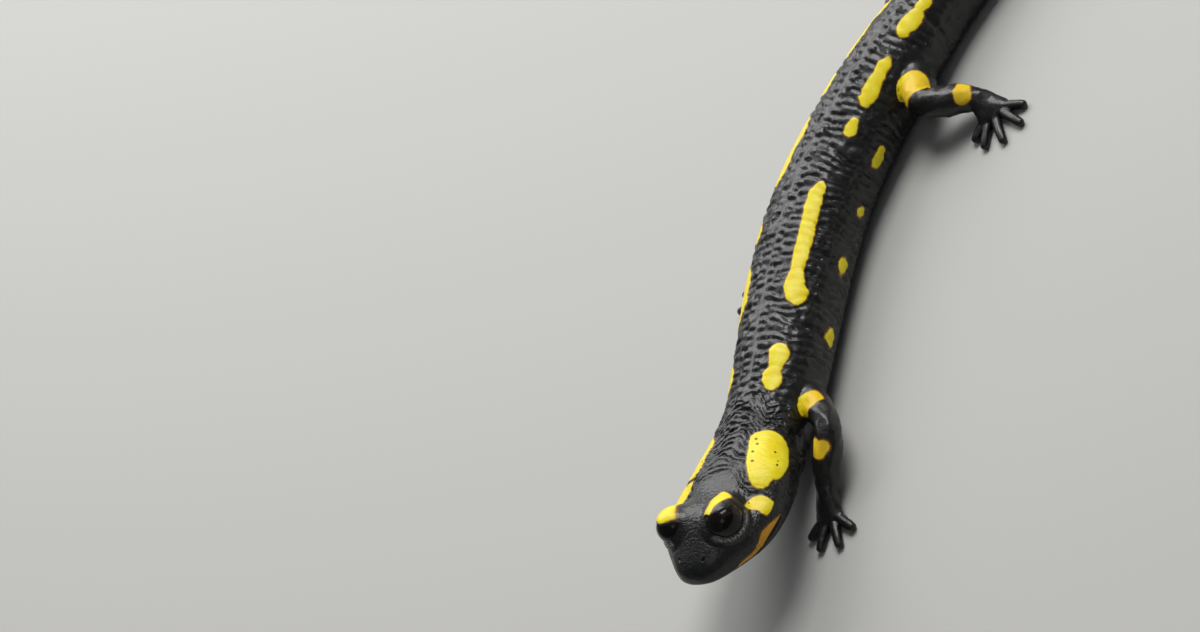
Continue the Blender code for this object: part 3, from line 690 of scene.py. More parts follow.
grid_station = station.copy()
for side in (1, -1):
    rim = lid_rim(grid_station, across, up, side) * (station < DOMES_END)
    size = np.hypot(across, up)
    across, up = across * (1 + rim / size), up * (1 + rim / size)
    moved = open_lids(grid_station, across, up, side)
    grid_station, across, up = (np.where(station < DOMES_END, new, old)
                                for new, old in zip(moved, (grid_station, across, up)))
points = place(grid_station, across, up)
points[..., 2] = np.maximum(points[..., 2], 0.0)
heights = points[..., 2]
print("the body stands from", round(float(heights.min()), 2), "to", round(float(heights.max()), 2), "mm high")

# %% [markdown]
# ## From rings to a closed mesh
# The rings become quads between neighbours, and each end is closed with a fan of triangles to one
# point. Written as whole arrays this takes a moment, where adding faces one at a time takes minutes.


# %% One closed mesh from a grid of points
def closed_grid(name, rings):
    """Quads between neighbouring rings and points, and a fan to the middle of the first and last ring."""
    count, sides = rings.shape[:2]
    row, col = np.meshgrid(np.arange(count - 1), np.arange(sides), indexing="ij")
    beside = (col + 1) % sides
    quads = np.stack([row * sides + col, row * sides + beside,
                      (row + 1) * sides + beside, (row + 1) * sides + col], axis=-1).reshape(-1, 4)
    around = np.arange(sides)
    first = np.stack([np.full(sides, count * sides), (around + 1) % sides, around], axis=-1)
    last = np.stack([np.full(sides, count * sides + 1), around, (around + 1) % sides], axis=-1)
    last[:, 1:] += (count - 1) * sides
    ends = np.stack([rings[0].mean(axis=0), rings[-1].mean(axis=0)])
    corners = np.concatenate([quads.ravel(), first.ravel(), last.ravel()])
    sizes = np.concatenate([np.full(len(quads), 4), np.full(2 * sides, 3)])
    return fill_mesh(name, np.concatenate([rings.reshape(-1, 3), ends]), corners, sizes)


def fill_mesh(name, places, corners, sizes):
    """A mesh from places in millimetres, the corner list of all faces and the number of corners of each."""
    mesh = bpy.data.meshes.new(name)
    mesh.vertices.add(len(places))
    mesh.vertices.foreach_set("co", (places * METRES).astype(np.float32).ravel())
    mesh.loops.add(len(corners))
    mesh.loops.foreach_set("vertex_index", corners.astype(np.int32))
    mesh.polygons.add(len(sizes))
    mesh.polygons.foreach_set("loop_start", np.concatenate([[0], np.cumsum(sizes)[:-1]]).astype(np.int32))
    mesh.polygons.foreach_set("loop_total", sizes.astype(np.int32))
    mesh.update(calc_edges=True)
    mesh.shade_smooth()
    return mesh


def add_piece(name, mesh):
    """An object that holds a mesh, a camera or a lamp, at the origin."""
    piece = bpy.data.objects.new(name, mesh)
    bpy.context.scene.collection.objects.link(piece)
    return piece


def places_of(mesh):
    """All vertex places of a mesh, in millimetres."""
    flat = np.empty(len(mesh.vertices) * 3, np.float32)
    mesh.vertices.foreach_get("co", flat)
    return flat.reshape(-1, 3).astype(float) / METRES


skin = add_piece("salamander_skin", closed_grid("salamander_skin", points))
print(len(skin.data.polygons), "faces in the body alone")

# %% [markdown]
# ## Legs and toes
# The legs are soft tubes with a slight elbow and knee, wide flat palms and blunt toes, four in front
# and five behind. Metaballs would give soft joints but no control of thickness. Here a leg is an
# ellipse carried along a path: straight runs between the joints, blurred so that each joint bends.

# %% Where the legs stand: girdle station, side, joints as (out, forward, height), and the toes' turn
FORE_GIRDLE, HIND_GIRDLE = 38.0, 101.0
LEGS = {
    "fore_L": (FORE_GIRDLE, 1,
               ((4.5, -0.5, 6.0), (13.0, 8.0, 7.2), (10.3, 17.0, 2.9), (10.6, 21.5, 1.15)), 6.0),
    "fore_R": (FORE_GIRDLE, -1,
               ((4.5, -0.5, 5.0), (10.8, -9.6, 4.0), (12.8, -19.4, 2.3), (14.4, -23.8, 1.15)), 150.0),
    "hind_L": (HIND_GIRDLE, 1,
               ((4.0, 0.0, 5.6), (13.0, 6.0, 7.6), (18.8, -0.2, 3.0), (22.6, 1.2, 1.2)), 60.0),
    "hind_R": (HIND_GIRDLE, -1,
               ((4.0, -0.5, 5.2), (10.8, -9.1, 4.3), (14.4, -18.3, 2.4), (18.2, -20.4, 1.2)), 98.0),
}
# half width and half thickness at the root, mid upper, elbow or knee, mid lower, wrist or ankle, knuckles
LIMB_SIZES = {"fore": ((3.1, 2.9), (2.6, 2.6), (2.1, 2.3), (2.4, 2.3), (1.9, 1.7), (2.7, 1.15)),
              "hind": ((3.9, 3.6), (3.1, 3.1), (2.3, 2.6), (2.6, 2.6), (2.1, 1.9), (3.1, 1.25))}
# each toe's angle from the middle of the palm, in degrees, and its length
DIGITS = {"fore": ((-52.0, 3.6), (-18.0, 5.2), (15.0, 5.6), (48.0, 4.2)),
          "hind": ((-62.0, 3.6), (-32.0, 5.4), (-4.0, 6.4), (24.0, 6.2), (54.0, 4.2))}
DIGIT_RADIUS = (0.95, 0.72)
DIGIT_ROUND = 0.62
KNUCKLE_SPREAD = 1.2
JOINT_ROUNDING = 2.1
PATH_STEP = 0.1
PALM_END = 1.3
LEG_SIDES, DIGIT_SIDES = 56, 26


def leg_joints(key):
    """The joints as points, laid out over the floor from the body's line at the girdle."""
    girdle, side, joints, _ = LEGS[key]
    middle, forward = read(LINE_MIDDLE, girdle), -read(LINE_TAILWARD, girdle)
    outward = side * read(LINE_ACROSS, girdle)
    return np.array([(*(middle + out * outward + ahead * forward)[:2], height)
                     for out, ahead, height in joints])


def bent_path(joints):
    """The straight run through the joints, each coordinate blurred by a bell along the length."""
    chord = np.concatenate([[0], np.cumsum(np.linalg.norm(np.diff(joints, axis=0), axis=1))])
    reach = 3 * JOINT_ROUNDING
    at = np.arange(-reach, chord[-1] + reach + PATH_STEP / 2, PATH_STEP)
    before = joints[0] + (joints[0] - joints[1]) / chord[1] * reach
    after = joints[-1] + (joints[-1] - joints[-2]) / (chord[-1] - chord[-2]) * reach
    stops = np.concatenate([[-reach], chord, [chord[-1] + reach]])
    corners = np.vstack([before, joints, after])
    straight = at_each(at, stops, corners)
    offsets = np.arange(-reach, reach + PATH_STEP / 2, PATH_STEP)
    blur = hill(offsets, 0.0, math.sqrt(2) * JOINT_ROUNDING)
    path = np.stack([np.convolve(straight[:, k], blur / blur.sum(), mode="same") for k in range(3)], axis=1)
    return at, chord, path


def level_across(direction):
    """The level direction of length 1 that is square to each direction."""
    level = np.cross(direction, (0.0, 0.0, 1.0))
    return level / np.linalg.norm(level, axis=1)[:, None]


def tube(points, direction, half_width, half_thickness, turn, outward):
    """Ellipses square to a path, their long way level: the path plus half width times cosine and half
    thickness times sine, both grown by the outward height."""
    direction = direction / np.linalg.norm(direction, axis=1)[:, None]
    level = level_across(direction)
    upright = np.cross(level, direction)
    wide = (half_width[:, None] + outward) * np.cos(turn)
    thick = (half_thickness[:, None] + outward) * np.sin(turn)
    return points[:, None] + wide[..., None] * level[:, None] - thick[..., None] * upright[:, None]


# %% A leg: its tube down to the palm, with folds at the joints
def leg_sizes(key, along, chord):
    """Half width and half thickness along a leg, rounded off past the knuckles."""
    size_at = (chord[0], chord[1] / 2, chord[1], (chord[1] + chord[2]) / 2, chord[2], chord[3])
    past = np.clip((along - chord[3]) / PALM_END, 0, 0.998)
    return [keyed(along, size_at, column) * np.sqrt(1 - past**2) for column in zip(*LIMB_SIZES[key[:4]])]


def leg_mesh(key, seed):
    """The leg's tube as a closed mesh, with grain and with folds that gather at the elbow and wrist."""
    at, chord, path = bent_path(leg_joints(key))
    end = np.sin(np.radians(np.linspace(0, 86, 9)))[1:] * PALM_END + chord[3]
    along = np.concatenate([spread(0.0, chord[3], (0, chord[3]), (0.3, 0.24)), end])
    line, direction = (at_each(along, at, rows) for rows in (path, np.gradient(path, axis=0)))
    half_width, half_thickness = leg_sizes(key, along, chord)
    turn = np.linspace(0, 2 * np.pi, LEG_SIDES, endpoint=False)[None]
    ahead, around = np.broadcast_arrays(along[:, None], turn * half_width[:, None])
    round_x, round_y = 3.0 * np.cos(turn) + ahead * 0.7, 3.0 * np.sin(turn) + ahead * 0.7
    lumps = 0.10 * ripple(round_x, round_y, 3.2, seed) + 0.05 * ripple(round_x, round_y, 1.1, seed + 1)
    drift = 0.4 * ripple(ahead, around, 4.0, seed + 2)
    at_joints = hill(ahead, chord[1], 2.6) + hill(ahead, chord[2], 2.2) + 0.35
    folds = 0.11 * furrows((ahead + drift) / 0.95, 1.8) * at_joints
    grain = 0.035 * smoothstep(0.62, 0.1, cobbles(ahead, around, 0.6, seed + 3))
    fade = smoothstep(chord[3] + PALM_END, chord[3] - 1.0, ahead)
    outward = (lumps + folds + grain) * fade
    return closed_grid(key, tube(line, direction, half_width, half_thickness, turn, outward))


# %% A toe: a blunt tube with soft pads under its joints
def toe_lines(key):
    """For each toe of a leg: its base beside the palm's end, its heading and its length."""
    girdle, side, _, toe_turn = LEGS[key]
    forward, outward = -read(LINE_TAILWARD, girdle), side * read(LINE_ACROSS, girdle)
    palm_end = leg_joints(key)[3]
    palm = LIMB_SIZES[key[:4]][-1][0]
    straight = math.radians(toe_turn)
    knuckles = -forward * math.sin(straight) + outward * math.cos(straight)
    for fan, length in DIGITS[key[:4]]:
        turn = math.radians(toe_turn + fan)
        heading = forward * math.cos(turn) + outward * math.sin(turn)
        base = palm_end + knuckles * (palm - DIGIT_RADIUS[0]) * math.sin(math.radians(fan)) * KNUCKLE_SPREAD
        yield base, heading, length


def toe_mesh(key, number, base, heading, length):
    """A toe as a closed mesh: radius and height along it are smooth curves, and the joints swell."""
    root, end = DIGIT_RADIUS
    rounded = length - DIGIT_ROUND * (1 - np.sin(np.radians(np.linspace(0, 84, 9))))
    along = np.concatenate([spread(-0.15 * length, length - 0.64, (0, 6), (0.26, 0.24)), rounded])
    radius = keyed(along, (-0.15 * length, 0.6 * length, 0.9 * length, length),
                   (root, end + 0.06, end, end - 0.06))
    radius += 0.07 * hill(along, 0.33 * length, 0.45) + 0.06 * hill(along, 0.68 * length, 0.4)
    radius *= np.sqrt(np.clip(1 - ((along - length + DIGIT_ROUND) / DIGIT_ROUND).clip(0) ** 2, 0.004, 1))
    points = base + along[:, None] * heading
    points[:, 2] = keyed(along, (-0.15 * length, 0.4 * length, length), (root + 0.1, root + 0.05, end * 0.8))
    turn = np.linspace(0, 2 * np.pi, DIGIT_SIDES, endpoint=False)[None]
    ahead = np.broadcast_to(along[:, None], (len(along), DIGIT_SIDES))
    wrinkle = (0.03 * furrows(ahead / 0.62 + 0.2 * np.sin(turn + number), 1.6)
               * smoothstep(length - 0.5, length - 1.5, ahead))
    rings = tube(points, np.gradient(points, axis=0), radius, radius * 0.92, turn, wrinkle)
    return closed_grid(f"{key}_{number}", rings)


legs = {}
for seed, key in enumerate(LEGS):
    toes = [add_piece(f"{key}_toe_{number}", toe_mesh(key, number, *line))
            for number, line in enumerate(toe_lines(key), start=1)]
    legs[key] = (add_piece(key, leg_mesh(key, 100 + 10 * seed)), toes)
print(len(legs), "legs and", sum(len(toes) for _, toes in legs.values()), "toes")

# %% [markdown]
# ## One skin
# Where a leg meets the body the real skin runs over without a seam. Joining the tubes with a Boolean
# union removes what lies inside, but leaves a sharp corner along each join. The corner is then smoothed
# by moving each vertex near it a little towards the average of its neighbours, many times over, while
# the rest of the skin keeps its folds. The toes and the skin close round the eyes are eased a little in
# the same way.


# %% Join the legs to the body
def apply_modifiers(piece):
    """Replace an object's mesh by the result of its modifiers, and remove them."""
    depsgraph = bpy.context.evaluated_depsgraph_get()
    old = piece.data
    piece.data = bpy.data.meshes.new_from_object(piece.evaluated_get(depsgraph))
    piece.modifiers.clear()
    bpy.data.meshes.remove(old)


def unite(piece, others):
    """Add other closed meshes to a piece by Boolean union, and remove their objects."""
    for other in others:
        union = piece.modifiers.new(other.name, "BOOLEAN")
        union.operation, union.solver, union.object = "UNION", "MANIFOLD", other
    apply_modifiers(piece)
    for other in others:
        bpy.data.meshes.remove(other.data)


for leg, toes in legs.values():
    unite(leg, toes)
unite(skin, [leg for leg, _ in legs.values()])
print(len(skin.data.vertices), "vertices in one skin")


# %% Where a place in space lies on the body
# first guesses of the station, then how often and by what share of the way each is moved
GUESSES, GUESS_ROUNDS, GUESS_SHARE = 118, 8, 0.8
# the distance that stands for a place with no leg near it, and how far round a path to look
NOWHERE_NEAR, LOOK_ROUND = 60.0, 9
# arrays of distances are worked out in this many parts, so that they fit in memory
BODY_PARTS, LEG_PARTS = 60, 40


def unbend(places):
    """Station, across and up of any places: start from the nearest of a few stations, then move along
    the line by how far the place lies ahead of it, a few times over."""
    coarse = np.linspace(0.0, TOTAL, GUESSES)
    middles = read(LINE_MIDDLE, coarse)
    station = np.empty(len(places))
    for part in np.array_split(np.arange(len(places)), BODY_PARTS):
        far = ((places[part, None] - middles[None]) ** 2).sum(axis=2)
        station[part] = coarse[far.argmin(axis=1)]
    for _ in range(GUESS_ROUNDS):
        away = places - read(LINE_MIDDLE, station)
        ahead = (away * read(LINE_TAILWARD, station)).sum(axis=1)
        station = np.clip(station + GUESS_SHARE * ahead, 0.0, TOTAL)
    away = places - read(LINE_MIDDLE, station)
    across, up = ((away * read(rows, station)).sum(axis=1) for rows in (LINE_ACROSS, LINE_UP))
    return station, across, up


def angle_on_ring(station, across, up):
    """The ring angle of a place: the angle whose squared sine and cosine point at it."""
    upper = up > 0
    half_width = landmark_curve(station, HALF_WIDTH)
    half_height = np.where(upper, landmark_curve(station, ABOVE), landmark_curve(station, BELOW))
    power = np.where(upper, TOP_POWER, BELLY_POWER) / 2
    x, z = np.abs(across) / half_width, np.abs(up) / half_height
    return np.sign(across) * np.arctan2(x**power, np.sign(up) * z**power)


def outside_body(station, across, up):
    """Millimetres outside the bare ring, along the ray from the middle."""
    turn = angle_on_ring(station, across, up)
    return np.hypot(across, up) - np.hypot(*bare_ring(np.clip(station, 0.05, TOTAL - 0.05), turn))


def outside_leg(places, key, beyond=PALM_END):
    """Millimetres outside the leg's tube, the distance along it and the angle round it, from the nearest
    point of its path."""
    at, chord, path = bent_path(leg_joints(key))
    inside = (at > -PATH_STEP) & (at < chord[-1] + beyond)
    at, path = at[inside][::3], path[inside][::3]
    level = level_across(np.gradient(path, axis=0))
    far, along, round_it = np.full(len(places), NOWHERE_NEAR), np.zeros(len(places)), np.zeros(len(places))
    low, high = path.min(axis=0) - LOOK_ROUND, path.max(axis=0) + LOOK_ROUND
    close = np.flatnonzero(((places > low) & (places < high)).all(axis=1))
    for part in np.array_split(close, LEG_PARTS):
        squared = ((places[part, None] - path[None]) ** 2).sum(axis=2)
        nearest = squared.argmin(axis=1)
        half_width, half_thickness = leg_sizes(key, at[nearest], chord)
        lift = np.abs(places[part, 2] - path[nearest, 2]) / np.sqrt(squared.min(axis=1) + 1e-6)
        flatter = (half_width - half_thickness) * np.clip(lift, 0, 1)
        far[part] = np.sqrt(squared.min(axis=1)) - half_width + flatter
        along[part] = at[nearest]
        sideways = ((places[part] - path[nearest]) * level[nearest]).sum(axis=1)
        round_it[part] = np.arctan2(places[part, 2] - path[nearest, 2], sideways)
    return far, along, round_it


# %% Round the corners where leg and body meet
def edges_of(mesh):
    """The two vertices of every edge."""
    flat = np.empty(len(mesh.edges) * 2, np.int32)
    mesh.edges.foreach_get("vertices", flat)
    return flat.reshape(-1, 2)


def relax(places, edges, weight, rounds):
    """Move each place towards the mean of its neighbours by its weight, a number of times."""
    first, second = edges.T
    count = np.bincount(edges.ravel(), minlength=len(places))
    for _ in range(rounds):
        total = np.stack([np.bincount(first, places[second, k], len(places))
                          + np.bincount(second, places[first, k], len(places)) for k in range(3)], axis=1)
        places = places + weight[:, None] * (total / count[:, None] - places)
    return places


CORNER_REACH = 1.5
RELAX_WEIGHT, RELAX_ROUNDS = 0.6, 22
TOE_EASE, EYE_EASE = 0.35, 0.36

places = places_of(skin.data)
place_station, place_across, place_up = unbend(places)
off_body = outside_body(place_station, place_across, place_up)
corner = np.zeros(len(places))
for key in LEGS:
    off_leg, *_ = outside_leg(places, key)
    near_both = np.exp(-(np.clip(off_leg, 0, None) / CORNER_REACH) ** 2
                       - (np.clip(off_body, 0, None) / CORNER_REACH) ** 2)
    corner = np.maximum(corner, near_both * (off_leg < 8) * (off_leg > -1.2))
    toes_here = (off_body > 2) & (off_leg < 2.2)
    corner[toes_here] = np.maximum(corner[toes_here], TOE_EASE)
for side in (1, -1):
    _, distance = from_eye(place_station, place_across, place_up, side)
    corner = np.maximum(corner, EYE_EASE * smoothstep(4.3, 3.9, distance))
moved = relax(places, edges_of(skin.data), RELAX_WEIGHT * smoothstep(0.25, 0.8, corner), RELAX_ROUNDS)
moved[:, 2] = np.maximum(moved[:, 2], 0.0)
skin.data.vertices.foreach_set("co", (moved * METRES).astype(np.float32).ravel())
skin.data.update()
print("corners rounded on", int((corner > 0.3).sum()), "vertices")

# %% Thin the mesh where the form is plain, and leave the head and neck as they are
SKIN_TRIANGLES = 192_000
FINE_UNTIL = 33.0
mesh = skin.data
mesh.calc_loop_triangles()
place_station, place_across, place_up = unbend(places_of(mesh))
plain = (place_station > FINE_UNTIL) | (outside_body(place_station, place_across, place_up) > 1.5)
group = skin.vertex_groups.new(name="plain")
group.add(np.flatnonzero(plain).tolist(), 1.0, "REPLACE")
thin = skin.modifiers.new("thin", "DECIMATE")
thin.ratio = min(1.0, SKIN_TRIANGLES / len(mesh.loop_triangles))
thin.vertex_group = group.name
thin.use_collapse_triangulate = True
before = len(mesh.loop_triangles)
apply_modifiers(skin)
skin.vertex_groups.clear()
skin.data.shade_smooth()
skin.data.calc_loop_triangles()
print(before, "triangles thinned to", len(skin.data.loop_triangles))

# %% [markdown]
# ## What the material needs to know at each place
# The pattern and the grain belong to the body, not to the room, so they must bend with it. The usual
# answer is a UV map, but a map has seams. Instead each vertex keeps where it lies on the straightened
# animal, how deep inside a yellow patch it is, how orange that patch is there, and how near it is to the
# warty edge of the low lid, whose pale colour is a painted highlight.

# %% Patches on the legs: the distance along the leg and the reach of each
# how far past the knuckles a place still counts as leg, so that the toes do
BEYOND_PALM = 5.0
# distance from the middle of the eye of the low lid's warty edge, painted pale as a highlight, and its reach
# to both sides
LID_EDGE, LID_EDGE_REACH = 3.42, 0.19
BLOT_RISE, BLOT_STRETCH = 1.6, 1.25
HEAD_END = 16
LEG_PATCHES = {
    "fore_L": ((6.6, 2.5), (16.6, 2.0)),
    "fore_R": ((6.5, 2.8), (17.0, 1.8)),
    "hind_L": ((7.4, 3.3), (19.0, 2.0)),
    "hind_R": ((7.5, 3.2), (18.0, 2.2)),
}


def leg_patches(places, key):
    """Millimetres inside the blots on the upper side of a leg: a ball round a point of the path, raised
    to the top of the leg and a little flat."""
    at, _, path = bent_path(leg_joints(key))
    field = np.full(len(places), FAR_OUT)
    for along, reach in LEG_PATCHES[key]:
        middle = at_each(along, at, path) + (0.0, 0.0, BLOT_RISE)
        away = (places - middle) * (1.0, 1.0, BLOT_STRETCH)
        field = smooth_most(field, reach - np.linalg.norm(away, axis=1), PATCH_JOIN)
    return field + 0.22 * ripple(places[:, 0] + places[:, 2], places[:, 1], 3.0, 81)


# %% Work out the fields on the finished skin
def set_field(mesh, name, values, kind="FLOAT"):
    """Store one value, or one triple, at every vertex under a name that a material can read."""
    field = mesh.attributes.new(name, kind, "POINT")
    slot = "vector" if kind == "FLOAT_VECTOR" else "value"
    field.data.foreach_set(slot, np.asarray(values, np.float32).ravel())


places = places_of(skin.data)
place_station, place_across, place_up = unbend(places)
place_angle = angle_on_ring(place_station, place_across, place_up)
place_arc = round_the_skin(place_station, place_angle)
body_yellow = back_patches(place_station, place_arc)
leg_yellow, off_any = np.full(len(places), FAR_OUT), np.full(len(places), NOWHERE_NEAR)
for key in LEGS:
    off_leg, *_ = outside_leg(places, key, BEYOND_PALM)
    off_any = np.minimum(off_any, off_leg)
    leg_yellow = np.maximum(leg_yellow, leg_patches(places, key) - 2 * np.clip(off_leg - 0.4, 0, None))
on_leg = smoothstep(0.7, 1.5, outside_body(place_station, place_across, place_up)) * (off_any < 5.0)
yellow = np.where(on_leg > 0.5, leg_yellow, np.maximum(body_yellow, leg_yellow))
lips = lip_field(place_station, place_up)
lips = np.where(place_across > 0, lips, np.minimum(lips, 0.9 * np.sin(place_station * 1.1 + 0.6) + 0.5))
head_part = (place_station < HEAD_END) & (on_leg < 0.5)
# where the low lid's warty edge lies: it drives the warts' bump and a painted highlight in the colour
lid_warts_and_highlight = np.zeros(len(places))
for side in (1, -1):
    away, distance = from_eye(place_station, place_across, place_up, side)
    yellow = np.where(distance < HOOD_RADIUS - 0.05, FAR_OUT, yellow)
    back, _, raised = (away / distance[:, None] @ eye_directions(side).T).T
    lid_warts_and_highlight = np.maximum(lid_warts_and_highlight, hill(distance, LID_EDGE, LID_EDGE_REACH)
                         * smoothstep(-0.06, -0.24, raised) * (0.35 + 0.65 * smoothstep(0.5, -0.2, back)))
yellow = np.maximum(yellow, np.where(head_part, lips, FAR_OUT))
orange = np.where(lips > -0.3, 1.0, 0.0) * head_part + 0.5 * on_leg + 0.12 * hill(place_station, 12.6, 2.0)
gland = window(place_station, 14.5, 17.0, 26.5, 29) * smoothstep(-0.2, 0.6, yellow)
cheek_pores = window(place_station, 11.5, 12.2, 13.4, 14.2) * (np.abs(place_arc) > 5.5)
straightened = np.stack([place_across, place_station, place_up], axis=1)
on_the_skin = np.stack([place_station, place_arc, 0 * place_arc], axis=1)
set_field(skin.data, "yellow_depth", yellow)
set_field(skin.data, "orange", orange)
set_field(skin.data, "pores", np.maximum(gland, cheek_pores))
set_field(skin.data, "lid_warts_and_highlight", lid_warts_and_highlight)
set_field(skin.data, "straightened", straightened, "FLOAT_VECTOR")
set_field(skin.data, "skin_place", on_the_skin, "FLOAT_VECTOR")
print("yellow covers", round(float((yellow > 0).mean()) * 100, 1), "% of the vertices")

# %% [markdown]
# ## A flat map of the skin
# Whoever bakes the colours into one image needs the skin laid out flat, as a tanner would: slit along
# the belly, with the legs and toes as strips of their own. An automatic layout would cut the folds into
# thousands of scraps. Here the station and the way round the skin already are such a map, so it only
# takes a place for each strip. A face that crosses a slit takes all its corners to one side of it.

# %% Where each strip lies, in millimetres on a square map
MAP_SIDE = 138.0
# the body is cut across at this station, and its two halves lie one above the other
BODY_CUT = 97.5
FRONT_ROW, TAIL_ROW = (1.5, 34.5), (4.0 - BODY_CUT, 89.0)
LEG_COLUMN, FIRST_LEG, LEG_ROW, LEG_ROUND = 104.0, 15.5, 19.0, 2.6
TOE_ROW, TOE_CELL, TOE_ROUND = 115.0, (8.5, 7.5), 0.9
TOES_IN_ROW = 15
LID_CELLS = {1: (50.0, 128.0), -1: (60.0, 128.0)}
# a face belongs to a leg this near its tube, and to a toe this near its middle and this far past its base
NEAR_LEG, NEAR_TOE, PAST_BASE = 6.0, 1.3, 1.2

mesh = skin.data
vertex_of = np.empty(len(mesh.loops), np.int32)
mesh.loops.foreach_get("vertex_index", vertex_of)
first_corner, corner_count = np.empty((2, len(mesh.polygons)), np.int32)
mesh.polygons.foreach_get("loop_start", first_corner)
mesh.polygons.foreach_get("loop_total", corner_count)
face_of = np.repeat(np.arange(len(mesh.polygons)), corner_count)
flat = np.zeros((len(vertex_of), 2))


def face_mean(values):
    """The mean of a value over the corners of each face."""
    return np.bincount(face_of, values[vertex_of]) / corner_count


def lay_out(chosen, along, turn, radius, origin):
    """Put the corners of the chosen faces on the map: across it the distance along, and up it the angle
    times the radius, with each angle taken the short way from that of its face's first corner."""
    at = np.flatnonzero(chosen[face_of])
    vertex, start = vertex_of[at], turn[vertex_of[first_corner[face_of[at]]]]
    near = start + (turn[vertex] - start + np.pi) % (2 * np.pi) - np.pi
    high = near * (radius[vertex] if np.ndim(radius) else radius)
    flat[at] = np.stack([along[vertex], high], axis=1) + origin


# %% Lay out the body, the legs, the toes and the skin drawn in under each eyeball
body_radius = mean_radius(place_station)
at_front = face_mean(place_station) < BODY_CUT
lay_out(at_front, place_station, place_angle, body_radius, FRONT_ROW)
lay_out(~at_front, place_station, place_angle, body_radius, TAIL_ROW)
leg_faces, toe_number = face_mean(on_leg) > 0.5, 0
for row, key in enumerate(LEGS):
    off_leg, along, turn = outside_leg(places, key, BEYOND_PALM)
    here = leg_faces & (face_mean(off_leg) < NEAR_LEG)
    lay_out(here, along, -turn, LEG_ROUND, (LEG_COLUMN, FIRST_LEG + row * LEG_ROW))
    for base, heading, length in toe_lines(key):
        away = places - base
        ahead = away @ heading
        beside = away @ np.array((heading[1], -heading[0], 0.0))
        above = away[:, 2] + base[2] - DIGIT_RADIUS[0]
        on_toe = here & (face_mean(np.hypot(beside, above)) < NEAR_TOE) & (face_mean(ahead) > PAST_BASE)
        cell = (toe_number % TOES_IN_ROW, toe_number // TOES_IN_ROW)
        lay_out(on_toe, ahead, np.arctan2(-above, beside), TOE_ROUND,
                (1.0 + cell[0] * TOE_CELL[0], TOE_ROW + cell[1] * TOE_CELL[1]))
        toe_number += 1
for side, origin in LID_CELLS.items():
    away, distance = from_eye(place_station, place_across, place_up, side)
    drawn_in = face_mean(distance) < HOOD_RADIUS - 0.12
    at = np.flatnonzero(drawn_in[face_of])
    flat[at] = (away[vertex_of[at]] @ eye_directions(side)[[0, 2]].T) + origin
print("map spans", flat.min(axis=0).round(1), "to", flat.max(axis=0).round(1), "of", MAP_SIDE, "mm")
skin.data.uv_layers.new(name="OFBake").data.foreach_set("uv", (flat / MAP_SIDE).astype(np.float32).ravel())

# %% [markdown]
# ## Wet black skin
# Salamander skin is black all the way, and what the eye sees on it is sky: a soft grey sheen on every
# surface that faces the light, broken up by pebbles and wrinkles. A grey base colour would look like
# rubber. Here the base is nearly black, the roughness is middling, a thin clear coat stands for the
# slime, and the finest grain is bump, because it is finer than the mesh.


# %% A small helper for node trees
def add_node(tree, kind, values=None, **settings):
    """A node with some settings, and some inputs set: a link where the value is an output, else the value."""
    node = tree.nodes.new(kind)
    for name, value in settings.items():
        setattr(node, name, value)
    for name, value in (values or {}).items():
        if isinstance(value, bpy.types.NodeSocket):
            tree.links.new(value, node.inputs[name])
        else:
            node.inputs[name].default_value = value
    return node


def maths(tree, operation, first, second, third=0.0):
    """One Math node, and its output."""
    return add_node(tree, "ShaderNodeMath", {0: first, 1: second, 2: third}, operation=operation).outputs[0]


def rescale(tree, value, low, high, to_low=0.0, to_high=1.0):
    """A smooth Map Range from one span to another, and its output."""
    values = {"Value": value, "From Min": low, "From Max": high, "To Min": to_low, "To Max": to_high}
    return add_node(tree, "ShaderNodeMapRange", values, interpolation_type="SMOOTHSTEP").outputs["Result"]


def mixed(tree, share, first, second):
    """A colour mix, and its output. Inputs 6 and 7 of the node, and its output 2, are the colours."""
    return add_node(tree, "ShaderNodeMix", {0: share, 6: first, 7: second}, data_type="RGBA").outputs[2]


def field(tree, name, output="Fac"):
    """The output of an Attribute node that reads one of the fields above."""
    return add_node(tree, "ShaderNodeAttribute", attribute_name=name).outputs[output]


def noise(tree, vector, scale, detail=2.0, roughness=0.5):
    """A noise texture's value, whose scale counts per millimetre where the vector is in millimetres."""
    values = {"Vector": vector, "Scale": scale, "Detail": detail, "Roughness": roughness}
    return add_node(tree, "ShaderNodeTexNoise", values).outputs["Fac"]


def cells(tree, vector, scale):
    """The distance to the nearest point of a Voronoi texture."""
    return add_node(tree, "ShaderNodeTexVoronoi", {"Vector": vector, "Scale": scale}).outputs["Distance"]


def new_material(name):
    """A material with nodes, its tree and its shader."""
    material = bpy.data.materials.new(name)
    material.use_nodes = True
    return material, material.node_tree, material.node_tree.nodes["Principled BSDF"]


# %% The skin's material
# Both blacks lean a little olive: the black is the skin's own colour, and the olive lean is a painted
# reflection of green surroundings.
BLACK = (0.0040, 0.0040, 0.0034, 1.0)
GREY_BLACK = (0.0090, 0.0088, 0.0072, 1.0)
YELLOW = (0.88, 0.69, 0.010, 1.0)
PALE_YELLOW = (0.90, 0.78, 0.030, 1.0)
ORANGE = (0.66, 0.32, 0.022, 1.0)
RIM_BROWN = (0.16, 0.055, 0.008, 1.0)
PORE = (0.09, 0.075, 0.012, 1.0)
# near-white for the low lid's warty edge: a painted highlight, not the skin's own colour
PAINTED_LID_HIGHLIGHT = (0.82, 0.82, 0.76, 1.0)


